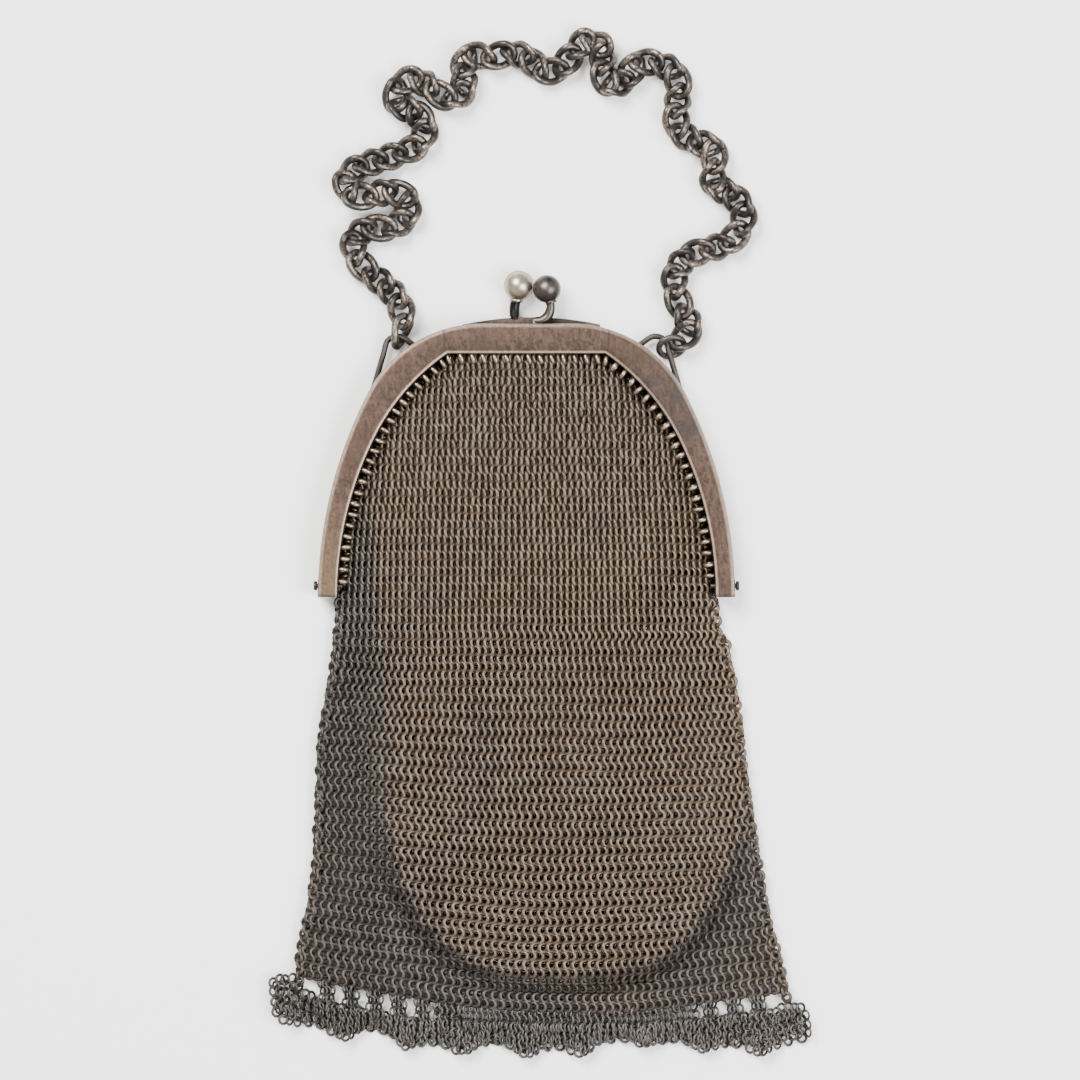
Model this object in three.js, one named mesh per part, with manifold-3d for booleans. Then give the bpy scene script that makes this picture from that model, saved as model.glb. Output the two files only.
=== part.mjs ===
// Metal mesh purse lying flat: arched two-part frame with ball clasp, chain handle,
// ring mail bag with a bulged belly, and a ruffled frill under its hem.
// Millimetres. X runs across the purse, Y from the hem up to the chain, Z up from the table.
// The pieces are laid out from the hinge line: x = 0 on the middle line, y = 0 at the foot of
// the frame, z = 0 on the table. The whole group is then moved so that its origin is the middle
// of the bottom of its box.

import * as THREE from 'three';
import { mergeVertices } from 'three/addons/utils/BufferGeometryUtils.js';
import Module from 'manifold-3d';

const wasm = await Module();
wasm.setup();

// Shared fits
const fit_gap = 0.3;
const sheet = 0.9;

// Frame
const frame_width = 104;
const frame_height = 68.2;
const shoulder_radius = 32;
const shoulder_turn = 62.5;
const crown_band = 7.45;
const foot_band = 4.8;
const inner_shoulder_radius = 55.6;
const inner_corner_turn = 34.6;
const inner_side_turn = 63.7;
const half_depth = 4.0;
const flange_depth = 3.2;
const slope_run = 1.2;
const slope_drop = 0.6;
const bead_width = 1.0;
const bead_height = 0.25;

// Crest on the top edge of the back half
const crest_left = 15.9;
const crest_right = 18.4;
const crest_height = 1.8;
const crest_depth = 2.6;
const crest_setback = 0.6;

// Hinges at the feet
const hinge_rise = 2.8;
const lug_radius = 1.6;
const hinge_pin_radius = 0.6;
const hinge_head_radius = 1.2;
const hinge_head_length = 0.9;

// Clasp
const back_ball_radius = 3.75;
const front_ball_radius = 3.5;
const back_ball_shift = -1.9;
const back_ball_rise = 9.7;
const ball_spread = 7.0;
const ball_step_down = 1.0;
const stem_radius = 1.15;
const back_stem_shift = -3.0;
const front_stem_shift = 3.4;
const front_stem_bow = 3.0;
const tang_radius = 0.55;
const rivet_head_radius = 1.1;
const tang_inset = 1.45;
const rivet_head_length = 0.6;

// Handle loops on the shoulders
const loop_wire = 1.5;
const loop_low_turn = 59;
const loop_high_turn = 32.5;
const loop_foot_rise = 2.2;
const loop_top_rise = 3.1;
const loop_shoulder_lean = 2.7;
const loop_shoulder_height = 7.8;
const loop_tip_lean = 4.0;
const loop_tip_height = 11.6;
const loop_inner_run = 3.5;
const loop_inner_height = 2.0;

// Chain handle
const link_wire = 1.4;
const link_length = 9.0;
const link_width = 6.8;
const link_twist = 45;
const link_blunt = 2.6;
const link_bite = 0.14;
const first_link_roll = 75;
const left_hook_share = 0.77;
const right_hook_share = 0.52;
const right_leg_share = 0.54;
const last_link_turn = 28.4;
const last_link_rise = -0.7;
const chain_lay = 2.15;
const chain_layer = 1.0;
const strand_width = 7.0;
const strand_height = 3.6;
const strand_slope = 0.5;
const bend_limit = 92;
const end_ring_outer = 7.8;
const end_ring_wire = 1.2;
const end_ring_tilt = 46;
const end_ring_slack = 0.9;
const end_ring_turn = 20;
const end_ring_play = 0.6;

// Mail bag and frill
const mouth_gap = 0.5;
const mail_wall = 1.3;
const bag_drop = 99;
const bag_neck = 3;
const left_hem_drop = 96.2;
const right_hem_drop = 100.2;
const hem_sag = 7.1;
const left_flare = 10;
const right_flare = 18;
const mouth_thickness = 7.0;
const belly_thickness = 9.4;
const flat_thickness = 3.8;
const seam_thickness = 3.0;
const belly_shift = 9;
const belly_level = 30;
const belly_half_width = 48;
const belly_depth = 67;
const belly_edge = 6;
const frill_height = 12;
const frill_left_reach = 9;
const frill_right_reach = 7.2;
const frill_thickness = 1.4;
const frill_wave = 1.7;
const frill_sway = 1.0;
const frill_waves = 9;
const frill_scallop = 1.4;
const post_pitch = 6;
const post_width = 3;

// Facets
const link_steps = 10;
const wire_sides = 5;
const rod_sides = 8;
const stem_sides = 6;
const ball_sides = 12;

const rad = THREE.MathUtils.degToRad;
const lerp = THREE.MathUtils.lerp;
const vec = (x, y, z) => new THREE.Vector3(x, y, z);
const parting_level = half_depth + fit_gap / 2;
const half_width = frame_width / 2;

// A regular polygon's corner radius that gives it the area of a round wire
const cornerRadius = (radius, sides) => {
  const area_share = (sides / (2 * Math.PI)) * Math.sin((2 * Math.PI) / sides);
  return radius / Math.sqrt(area_share);
};

// Closed geometry from points and triangles, turned so that its faces point out
const closedGeometry = (points, triangles) => {
  let volume = 0;
  for (const [a, b, c] of triangles) {
    volume += points[a].dot(points[b].clone().cross(points[c]));
  }
  const geometry = new THREE.BufferGeometry();
  const positions = points.flatMap((p) => [p.x, p.y, p.z]);
  const index = triangles.flatMap(([a, b, c]) => (volume > 0 ? [a, b, c] : [a, c, b]));
  geometry.setAttribute('position', new THREE.Float32BufferAttribute(positions, 3));
  geometry.setIndex(index);
  return geometry;
};

// Quads between neighbouring loops of points; wrap joins the last loop to the first
const stripBetween = (first, second, count) => {
  const triangles = [];
  for (let k = 0; k < count; k += 1) {
    const next = (k + 1) % count;
    triangles.push([first + k, first + next, second + next]);
    triangles.push([first + k, second + next, second + k]);
  }
  return triangles;
};

// Triangles that fill an outline, each turned the same way round as the outline itself
const fillOutline = (outline) => {
  const turn = THREE.ShapeUtils.area(outline);
  return THREE.ShapeUtils.triangulateShape(outline.slice(), []).map(([a, b, c]) => {
    const same = THREE.ShapeUtils.area([outline[a], outline[b], outline[c]]) * turn > 0;
    return same ? [a, b, c] : [a, c, b];
  });
};

// Solid through loops of points, with flat ends filled from each end's own outline
const loftSolid = (loops, end_outlines) => {
  const count = loops[0].length;
  const triangles = [];
  for (let row = 0; row + 1 < loops.length; row += 1) {
    triangles.push(...stripBetween(row * count, (row + 1) * count, count));
  }
  const last = (loops.length - 1) * count;
  for (const [a, b, c] of fillOutline(end_outlines[0])) {
    triangles.push([c, b, a]);
  }
  for (const [a, b, c] of fillOutline(end_outlines[1])) {
    triangles.push([last + a, last + b, last + c]);
  }
  return closedGeometry(loops.flat(), triangles);
};

// Closed ring of loops, such as a chain link
const ringSolid = (loops) => {
  const count = loops[0].length;
  const triangles = [];
  for (let row = 0; row < loops.length; row += 1) {
    const next = (row + 1) % loops.length;
    triangles.push(...stripBetween(row * count, next * count, count));
  }
  return closedGeometry(loops.flat(), triangles);
};

const toSolid = (geometry) => {
  const plain = new THREE.BufferGeometry();
  plain.setAttribute('position', geometry.getAttribute('position').clone());
  if (geometry.index) {
    plain.setIndex(geometry.index.clone());
  }
  const merged = mergeVertices(plain, 1e-5);
  const mesh = new wasm.Mesh({
    numProp: 3,
    vertProperties: new Float32Array(merged.attributes.position.array),
    triVerts: new Uint32Array(merged.index.array),
  });
  return new wasm.Manifold(mesh);
};

const toGeometry = (solid) => {
  const mesh = solid.getMesh();
  const geometry = new THREE.BufferGeometry();
  geometry.setAttribute('position', new THREE.BufferAttribute(mesh.vertProperties, 3));
  geometry.setIndex(new THREE.BufferAttribute(mesh.triVerts, 1));
  return geometry;
};

const boxBetween = (low, high) => {
  const geometry = new THREE.BoxGeometry(high.x - low.x, high.y - low.y, high.z - low.z);
  geometry.translate((low.x + high.x) / 2, (low.y + high.y) / 2, (low.z + high.z) / 2);
  return geometry;
};

// Round bar from one point to another
const rodBetween = (start, end, radius, sides) => {
  const along = end.clone().sub(start);
  const geometry = new THREE.CylinderGeometry(radius, radius, along.length(), sides);
  const turn = new THREE.Quaternion().setFromUnitVectors(vec(0, 1, 0), along.clone().normalize());
  geometry.applyQuaternion(turn);
  const middle = start.clone().add(end).multiplyScalar(0.5);
  geometry.translate(middle.x, middle.y, middle.z);
  return geometry;
};

// Bent round wire through points
const wireAlong = (points, radius, sides, steps) => {
  const corner = cornerRadius(radius, sides);
  const section = new THREE.Shape();
  for (let k = 0; k < sides; k += 1) {
    const angle = (2 * Math.PI * (k + 0.5)) / sides;
    const x = corner * Math.cos(angle);
    const y = corner * Math.sin(angle);
    if (k === 0) {
      section.moveTo(x, y);
    } else {
      section.lineTo(x, y);
    }
  }
  section.closePath();
  const path = new THREE.CatmullRomCurve3(points, false, 'centripetal');
  return new THREE.ExtrudeGeometry(section, { steps, curveSegments: 1, extrudePath: path });
};

// Half of an arch as flat, shoulder arc and side arc, measured from its top middle to its foot
const halfArch = ({ half_foot, height, start_turn, side_turn, shoulder }) => {
  const start = rad(start_turn);
  const turned = rad(side_turn);
  const shoulder_fall = shoulder * (Math.cos(start) - Math.cos(turned));
  const side = (height - shoulder_fall) / Math.cos(turned);
  const shoulder_run = shoulder * (Math.sin(turned) - Math.sin(start));
  const flat = half_foot - shoulder_run - side * (1 - Math.sin(turned));
  const at = (heading) => {
    if (heading <= turned) {
      return new THREE.Vector2(
        flat + shoulder * (Math.sin(heading) - Math.sin(start)),
        height - shoulder * (Math.cos(start) - Math.cos(heading)),
      );
    }
    return new THREE.Vector2(
      flat + shoulder_run + side * (Math.sin(heading) - Math.sin(turned)),
      height - shoulder_fall - side * (Math.cos(turned) - Math.cos(heading)),
    );
  };
  return { flat, height, start, turned, shoulder, side, at };
};

const outer_arch = halfArch({
  half_foot: half_width,
  height: frame_height,
  start_turn: 0,
  side_turn: shoulder_turn,
  shoulder: shoulder_radius,
});

const inner_arch = halfArch({
  half_foot: half_width - foot_band,
  height: frame_height - crown_band,
  start_turn: inner_corner_turn,
  side_turn: inner_side_turn,
  shoulder: inner_shoulder_radius,
});

// Where a line from a point on the inner edge meets the outer edge
const meetOuter = (point, direction) => {
  let near = 0;
  let far = 3 * crown_band;
  const outside = (distance) => {
    const probe = point.clone().addScaledVector(direction, distance);
    if (probe.x <= outer_arch.flat) {
      return probe.y - frame_height;
    }
    const high_center = frame_height - shoulder_radius;
    const turned = outer_arch.turned;
    const from_center = new THREE.Vector2(probe.x - outer_arch.flat, probe.y - high_center);
    if (Math.atan2(from_center.x, from_center.y) <= turned) {
      return from_center.length() - shoulder_radius;
    }
    const side_center = new THREE.Vector2(half_width - outer_arch.side, 0);
    return probe.clone().sub(side_center).length() - outer_arch.side;
  };
  for (let pass = 0; pass < 50; pass += 1) {
    const middle = (near + far) / 2;
    if (outside(middle) > 0) {
      far = middle;
    } else {
      near = middle;
    }
  }
  return point.clone().addScaledVector(direction, near);
};

// Stations of the right half of the frame: inner edge point and the outer point across from it
const frameStations = () => {
  const stations = [];
  const flat_shares = [0.28, 0.56, 0.8];
  for (const share of flat_shares) {
    const inner = new THREE.Vector2(inner_arch.flat * share, inner_arch.height);
    stations.push({ inner, outer: meetOuter(inner, new THREE.Vector2(0, 1)) });
  }
  const corner = new THREE.Vector2(inner_arch.flat, inner_arch.height);
  const half_turn = inner_arch.start / 2;
  const across = new THREE.Vector2(Math.sin(half_turn), Math.cos(half_turn));
  stations.push({ inner: corner, outer: meetOuter(corner, across) });
  const arc_steps = 4;
  const arcs = [[inner_arch.start, inner_arch.turned], [inner_arch.turned, Math.PI / 2]];
  for (const [from, to] of arcs) {
    for (let k = 1; k <= arc_steps; k += 1) {
      const heading = lerp(from, to, k / arc_steps);
      const inner = inner_arch.at(heading);
      const outward = new THREE.Vector2(Math.sin(heading), Math.cos(heading));
      stations.push({ inner, outer: meetOuter(inner, outward) });
    }
  }
  return stations;
};

const mirrorStation = ({ inner, outer }) => ({
  inner: new THREE.Vector2(-inner.x, inner.y),
  outer: new THREE.Vector2(-outer.x, outer.y),
});

const right_stations = frameStations();
const all_stations = [...right_stations.slice().reverse().map(mirrorStation), ...right_stations];

// Channel section across the band: distance in from the outer edge, height above the parting line
const channelSection = (band) => [
  [0, 0],
  [0, half_depth - slope_drop],
  [slope_run, half_depth - bead_height / 3],
  [band - bead_width, half_depth - bead_height],
  [band - bead_width / 2, half_depth],
  [band, half_depth - bead_height],
  [band, half_depth - flange_depth],
  [band - sheet, half_depth - flange_depth],
  [band - sheet, half_depth - bead_height - sheet],
  [sheet, half_depth - bead_height - sheet],
  [sheet, 0],
];

// One half of the frame as an open channel; side is 1 for the front half and -1 for the back
const frameChannel = (side) => {
  const loops = [];
  const outlines = [];
  for (const { inner, outer } of all_stations) {
    const band = outer.distanceTo(inner);
    const inward = inner.clone().sub(outer).divideScalar(band);
    const section = channelSection(band);
    loops.push(section.map(([across, height]) => {
      const place = outer.clone().addScaledVector(inward, across);
      return vec(place.x, place.y, parting_level + side * (fit_gap / 2 + height));
    }));
    outlines.push(section.map(([across, height]) => new THREE.Vector2(across, height)));
  }
  return loftSolid(loops, [outlines[0], outlines[outlines.length - 1]]);
};

// End plate that closes a channel at its foot; hand is 1 on the right and -1 on the left
const footPlate = (side, hand) => {
  const inner_x = half_width - foot_band;
  const outer_x = half_width;
  const base = parting_level + side * fit_gap / 2;
  const top = parting_level + side * (fit_gap / 2 + half_depth - slope_drop);
  return boxBetween(
    vec(Math.min(hand * inner_x, hand * outer_x), 0, Math.min(base, top)),
    vec(Math.max(hand * inner_x, hand * outer_x), sheet, Math.max(base, top)),
  );
};

// Hinge lug: a round-ended tab across X from a channel's roof to the hinge line
const lug_outer_x = half_width;
const lug_inner_x = half_width - sheet - 2 * fit_gap;
const hingeLug = (side, hand, far_x) => {
  const near_x = far_x - sheet;
  const roof = parting_level + side * (fit_gap / 2 + half_depth - slope_drop);
  const low = vec(Math.min(hand * near_x, hand * far_x), hinge_rise - lug_radius, 0);
  const high = vec(Math.max(hand * near_x, hand * far_x), hinge_rise + lug_radius, 0);
  low.z = Math.min(parting_level, roof);
  high.z = Math.max(parting_level, roof);
  const tab = toSolid(boxBetween(low, high));
  const start = vec(hand * near_x, hinge_rise, parting_level);
  const end = vec(hand * far_x, hinge_rise, parting_level);
  return tab.add(toSolid(rodBetween(start, end, lug_radius, rod_sides)));
};

const hingeHole = (hand) => {
  const start = vec(hand * (half_width - foot_band + sheet + fit_gap), hinge_rise, parting_level);
  const end = vec(hand * (half_width + sheet), hinge_rise, parting_level);
  return toSolid(rodBetween(start, end, hinge_pin_radius + fit_gap, rod_sides));
};

// Room cut in the back half's outer wall for the front half's lug
const lugRoom = (hand) => toSolid(boxBetween(
  vec(
    Math.min(hand * (lug_outer_x - sheet - fit_gap), hand * (lug_outer_x + sheet)),
    hinge_rise - lug_radius - fit_gap,
    parting_level - lug_radius - fit_gap,
  ),
  vec(
    Math.max(hand * (lug_outer_x - sheet - fit_gap), hand * (lug_outer_x + sheet)),
    hinge_rise + lug_radius + fit_gap,
    parting_level + lug_radius,
  ),
));

// Places of the two clasp stems on the top wall: the tang goes through, the stem stands on it
const front_tang_level = parting_level + fit_gap / 2 + tang_inset;
const back_tang_level = parting_level - fit_gap / 2 - tang_inset;
const crestTop = (x) => {
  const middle = (crest_right - crest_left) / 2;
  const reach = (crest_right + crest_left) / 2;
  const share = (x - middle) / reach;
  return frame_height + crest_height * (1 - share * share);
};

const tangHole = (x, level, top) => {
  const start = vec(x, frame_height - 2 * sheet, level);
  const end = vec(x, top + sheet, level);
  return toSolid(rodBetween(start, end, tang_radius + fit_gap, rod_sides));
};

// Shallow lens-shaped crest along the top edge of the back half
const crestBody = () => {
  const outline = new THREE.Shape();
  const root = frame_height - sheet / 2;
  const crest_steps = 6;
  outline.moveTo(-crest_left, root);
  outline.lineTo(crest_right, root);
  for (let k = 0; k <= crest_steps; k += 1) {
    const x = lerp(crest_right, -crest_left, k / crest_steps);
    const edge = Math.abs(x) > outer_arch.flat ? meetOuter(new THREE.Vector2(Math.abs(x), 0),
      new THREE.Vector2(0, 1)).y : frame_height;
    outline.lineTo(x, Math.max(crestTop(x), edge - sheet / 4));
  }
  outline.closePath();
  const geometry = new THREE.ExtrudeGeometry(outline, { depth: crest_depth, bevelEnabled: false });
  geometry.translate(0, 0, crest_setback);
  return geometry;
};

// Wire handle loop soldered to the shoulder; its bends are set out from its two feet
const loop_radius = loop_wire / 2;
const loopPoints = (hand) => {
  const low_foot = outer_arch.at(rad(loop_low_turn));
  const high_foot = outer_arch.at(rad(loop_high_turn));
  const middle_turn = rad((loop_low_turn + loop_high_turn) / 2);
  const outward = new THREE.Vector2(Math.sin(middle_turn), Math.cos(middle_turn));
  const from = (foot, run, rise) => new THREE.Vector2(foot.x + run, foot.y + rise);
  const bends = [
    { place: low_foot.clone().addScaledVector(outward, -sheet / 2), level: loop_foot_rise },
    { place: from(low_foot, -loop_shoulder_lean, loop_shoulder_height), level: loop_top_rise },
    { place: from(low_foot, -loop_tip_lean, loop_tip_height), level: loop_top_rise },
    { place: from(high_foot, loop_inner_run, loop_inner_height), level: loop_top_rise },
    { place: high_foot.clone().addScaledVector(outward, -sheet / 2), level: loop_foot_rise },
  ];
  return bends.map(({ place, level }) => vec(hand * place.x, place.y, level));
};

const loopWire = (hand) => wireAlong(loopPoints(hand), loop_radius, stem_sides, 10);

const frameFront = () => {
  let body = toSolid(frameChannel(1));
  for (const hand of [-1, 1]) {
    body = body.add(toSolid(footPlate(1, hand)));
    body = body.add(hingeLug(1, hand, lug_outer_x));
    body = body.subtract(hingeHole(hand));
  }
  return toGeometry(body.subtract(tangHole(front_stem_shift, front_tang_level, frame_height)));
};

const frameBack = () => {
  let body = toSolid(frameChannel(-1));
  for (const hand of [-1, 1]) {
    body = body.add(toSolid(footPlate(-1, hand)));
    body = body.subtract(lugRoom(hand));
    body = body.add(hingeLug(-1, hand, lug_inner_x));
    body = body.subtract(hingeHole(hand));
    body = body.add(toSolid(loopWire(hand)));
  }
  body = body.add(toSolid(crestBody()));
  const top = crestTop(back_stem_shift);
  return toGeometry(body.subtract(tangHole(back_stem_shift, back_tang_level, top)));
};

// Headed pin through both lugs of one hinge
const hingePin = (hand) => {
  const head_start = half_width + fit_gap;
  const inner_end = lug_inner_x - sheet - 2 * fit_gap;
  const shank = toSolid(rodBetween(
    vec(hand * inner_end, hinge_rise, parting_level),
    vec(hand * (head_start + hinge_head_length / 2), hinge_rise, parting_level),
    hinge_pin_radius,
    rod_sides,
  ));
  const head = toSolid(rodBetween(
    vec(hand * head_start, hinge_rise, parting_level),
    vec(hand * (head_start + hinge_head_length), hinge_rise, parting_level),
    hinge_head_radius,
    rod_sides,
  ));
  return toGeometry(shank.add(head));
};

// Clasp knob: ball, stem through its bends, tang through the wall and rivet head inside
const claspKnob = ({ center, radius, stem, seat }) => {
  const ball = new THREE.SphereGeometry(radius, ball_sides, ball_sides * 2 / 3);
  ball.rotateX(Math.PI / 2);
  ball.translate(center.x, center.y, center.z);
  const foot = stem[0];
  const rivet_top = frame_height - sheet - fit_gap;
  const tang = rodBetween(
    vec(foot.x, rivet_top - rivet_head_length / 2, foot.z),
    vec(foot.x, seat + stem_radius, foot.z),
    tang_radius,
    stem_sides,
  );
  const rivet = rodBetween(
    vec(foot.x, rivet_top - rivet_head_length, foot.z),
    vec(foot.x, rivet_top, foot.z),
    rivet_head_radius,
    rod_sides,
  );
  const stalk = wireAlong(stem, stem_radius, stem_sides, stem.length + 1);
  return toGeometry(toSolid(ball).add(toSolid(stalk)).add(toSolid(tang)).add(toSolid(rivet)));
};

const back_ball = vec(back_ball_shift, frame_height + back_ball_rise, back_ball_radius);
const ball_distance = back_ball_radius + front_ball_radius + fit_gap;
const ball_plan = Math.hypot(ball_spread, ball_step_down);
const ball_climb = Math.sqrt(Math.max(ball_distance ** 2 - ball_plan ** 2, 0));
const front_ball = vec(
  back_ball.x + ball_spread,
  back_ball.y - ball_step_down,
  back_ball.z + ball_climb,
);

const clasp_seat_back = crestTop(back_stem_shift) + fit_gap;
const clasp_seat_front = frame_height + fit_gap;

const claspKnobBack = () => claspKnob({
  center: back_ball,
  radius: back_ball_radius,
  seat: clasp_seat_back,
  stem: [
    vec(back_stem_shift, clasp_seat_back, back_tang_level),
    vec(back_stem_shift, lerp(clasp_seat_back, back_ball.y, 0.3), back_tang_level),
    vec(lerp(back_stem_shift, back_ball.x, 0.7), lerp(clasp_seat_back, back_ball.y, 0.9),
      lerp(back_tang_level, back_ball.z, 0.7)),
  ],
});

const claspKnobFront = () => claspKnob({
  center: front_ball,
  radius: front_ball_radius,
  seat: clasp_seat_front,
  stem: [
    vec(front_stem_shift, clasp_seat_front, front_tang_level),
    vec(front_stem_shift, lerp(clasp_seat_front, front_ball.y, 0.1), front_tang_level),
    vec(front_stem_shift + 0.8 * front_stem_bow, lerp(clasp_seat_front, front_ball.y, 0.3),
      front_tang_level),
    vec(front_stem_shift + front_stem_bow, lerp(clasp_seat_front, front_ball.y, 0.6),
      lerp(front_tang_level, front_ball.z, 0.5)),
    vec(lerp(front_stem_shift + front_stem_bow, front_ball.x, 0.6),
      lerp(clasp_seat_front, front_ball.y, 0.9), front_ball.z),
  ],
});

// Route of the chain from the left handle loop to the right one, chosen by hand: x, y and the
// layer it lies on, where a higher layer passes over a lower one. It is drawn for a chain that
// hooks on at the two route ends, and is moved, turned and scaled to the real hooks.
const route_left = new THREE.Vector2(-31.87, 65.19);
const route_right = new THREE.Vector2(35.4, 62.39);
const chain_route = [
  [-30.6, 70.9, 1.1],
  [-32.8, 75.8, 0],
  [-37.6, 79.6, 0],
  [-42.1, 83.6, 0],
  [-44.0, 88.9, 0],
  [-40.4, 92.6, 0],
  [-34.6, 91.9, 0],
  [-29.6, 95.0, 0],
  [-29.8, 100.6, 1],
  [-35.2, 101.6, 2],
  [-41.0, 99.4, 2],
  [-45.8, 101.6, 1],
  [-44.6, 107.0, 0],
  [-38.8, 108.4, 0],
  [-33.4, 110.6, 0],
  [-27.8, 112.0, 0],
  [-24.8, 116.4, 0],
  [-26.6, 121.4, 1],
  [-31.8, 121.4, 1],
  [-33.2, 126.4, 0],
  [-29.4, 130.6, 0],
  [-24.6, 128.0, 1],
  [-20.6, 124.2, 1],
  [-15.4, 125.4, 0],
  [-15.4, 130.6, 1],
  [-20.4, 133.2, 1],
  [-17.4, 137.6, 0],
  [-11.8, 136.2, 0],
  [-9.4, 130.8, 0],
  [-5.4, 134.6, 1],
  [-2.6, 139.4, 0],
  [1.4, 136.0, 0],
  [1.4, 130.6, 0],
  [7.0, 131.0, 0],
  [11.4, 134.6, 0],
  [14.2, 139.6, 0],
  [19.6, 139.8, 0],
  [19.8, 134.2, 1],
  [18.2, 128.8, 1],
  [22.8, 126.0, 0],
  [26.0, 130.6, 0],
  [28.4, 135.6, 0],
  [33.6, 133.0, 0],
  [38.9, 130.6, 0],
  [38.0, 124.8, 0],
  [36.9, 118.8, 0],
  [40.0, 113.8, 0],
  [45.6, 114.2, 0],
  [48.8, 109.8, 1],
  [44.8, 106.0, 1],
  [47.4, 101.4, 0],
  [53.0, 101.2, 0],
  [54.6, 95.6, 0],
  [52.8, 89.8, 0],
  [47.2, 87.4, 0],
  [41.2, 86.0, 0],
  [37.0, 81.8, 0],
  [37.0, 76.4, 0],
  [39.2, 71.4, 0.3],
];

// Chain links: the wire's faceted corners reach a little past its round size, which joins
// neighbouring links where they bear on each other
const link_corner = cornerRadius(link_wire / 2, wire_sides);
const link_half_length = (link_length - link_wire) / 2;
const link_half_width = (link_width - link_wire) / 2;
const link_pitch = link_length - 2 * link_wire;
const loop_corner = cornerRadius(loop_radius, stem_sides);
const hook_distance = link_corner + loop_corner + fit_gap;
const end_ring_corner = cornerRadius(end_ring_wire / 2, wire_sides);
const end_ring_radius = (end_ring_outer - end_ring_wire) / 2;

// Wire's centre line round a blunt oval link: place along it and across it
const linkOval = (angle, reach) => {
  const along = Math.cos(angle);
  const across = Math.sin(angle);
  return {
    along: reach * Math.sign(along) * Math.abs(along) ** (2 / link_blunt),
    across: link_half_width * Math.sign(across) * Math.abs(across) ** (2 / link_blunt),
  };
};

// A link's ends are straight facets; their inner ridges bite a little into each other at a joint
const tip_turn = Math.PI / link_steps;
const tipFacing = () => {
  const before = linkOval(tip_turn - 0.01, link_half_length);
  const after = linkOval(tip_turn + 0.01, link_half_length);
  const rise = after.across - before.across;
  return rise / Math.hypot(rise, after.along - before.along);
};
const tip_overhang = link_corner * tipFacing() - link_bite / 2;

// Point of a handle loop that the chain hooks on, as a share of its length from the low foot
const hookPoint = (hand, share) => {
  const path = new THREE.CatmullRomCurve3(loopPoints(hand), false, 'centripetal');
  return path.getPointAt(share);
};

const left_hook = hookPoint(-1, left_hook_share);
const right_hook = hookPoint(1, right_hook_share);
const right_leg = hookPoint(1, right_leg_share).sub(right_hook).setZ(0).normalize();
const right_pull = vec(right_leg.y, -right_leg.x, 0);
const drawn_span = route_right.clone().sub(route_left);
const hook_span = new THREE.Vector2(right_hook.x - left_hook.x, right_hook.y - left_hook.y);
const routePoint = ([x, y, layer]) => {
  const plan = new THREE.Vector2(x, y).sub(route_left)
    .rotateAround(new THREE.Vector2(), hook_span.angle() - drawn_span.angle())
    .multiplyScalar(hook_span.length() / drawn_span.length());
  return vec(left_hook.x + plan.x, left_hook.y + plan.y, chain_lay + layer * chain_layer);
};
const left_pull = routePoint(chain_route[0]).sub(left_hook).normalize();

// The end ring hangs on the right loop, tilted so that it passes over and under the wire
const ring_center = right_hook.clone().addScaledVector(right_pull, end_ring_slack);
ring_center.z = Math.max(
  right_hook.z,
  end_ring_radius * Math.sin(rad(end_ring_tilt)) + end_ring_corner,
);
const ring_across = right_leg.clone().multiplyScalar(Math.cos(rad(end_ring_tilt)));
ring_across.z = Math.sin(rad(end_ring_tilt));
const ring_normal = right_pull.clone().cross(ring_across);
const ringRadial = (angle) => right_pull.clone().multiplyScalar(Math.cos(angle))
  .addScaledVector(ring_across, Math.sin(angle));

// The last link bears on the inside of the ring and leads to the chain's last turn
const end_bar_reach = end_ring_radius - end_ring_corner - link_corner - end_ring_play;
const end_bar = ring_center.clone()
  .addScaledVector(ringRadial(rad(end_ring_turn)), end_bar_reach);
const end_link = right_pull.clone()
  .applyAxisAngle(vec(0, 0, 1), rad(last_link_turn))
  .multiplyScalar(Math.cos(rad(last_link_rise)));
end_link.z = Math.sin(rad(last_link_rise));
const chain_start = left_hook.clone().addScaledVector(left_pull, tip_overhang - hook_distance);
const chain_end = end_bar.clone().addScaledVector(end_link, tip_overhang);
const chain_turn = chain_end.clone().addScaledVector(end_link, link_pitch);

// Steps of one length along a path
const marchAlong = (samples, step) => {
  const joints = [samples[0]];
  let behind = samples[0];
  for (const sample of samples.slice(1)) {
    const from = joints[joints.length - 1];
    const far = sample.distanceTo(from);
    if (far >= step) {
      const near = behind.distanceTo(from);
      joints.push(behind.clone().lerp(sample, (step - near) / (far - near)));
    }
    behind = sample;
  }
  return joints;
};

// Equal steps near the link pitch that end exactly at the path's end
const equalSteps = (points) => {
  const path = new THREE.CatmullRomCurve3(points, false, 'centripetal');
  const samples = path.getPoints(points.length * 40);
  const count = marchAlong(samples, link_pitch).length - 1;
  let short = link_pitch * 0.9;
  let long = link_pitch * 1.1;
  for (let pass = 0; pass < 50; pass += 1) {
    const step = (short + long) / 2;
    if (marchAlong(samples, step).length - 1 >= count) {
      short = step;
    } else {
      long = step;
    }
  }
  return [...marchAlong(samples, short).slice(0, count), samples[samples.length - 1]];
};

// Joints that bend more than the links can are drawn in until they don't
const easeBends = (joints) => {
  let eased = joints;
  for (let pass = 0; pass < 8; pass += 1) {
    const moved = eased.map((spot, k) => {
      if (k === 0 || k + 1 === eased.length) {
        return spot;
      }
      const before = spot.clone().sub(eased[k - 1]);
      const after = eased[k + 1].clone().sub(spot);
      if (before.angleTo(after) < rad(bend_limit)) {
        return spot;
      }
      return spot.clone().add(after.sub(before).multiplyScalar(0.1));
    });
    eased = equalSteps(moved);
  }
  return eased;
};

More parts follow.
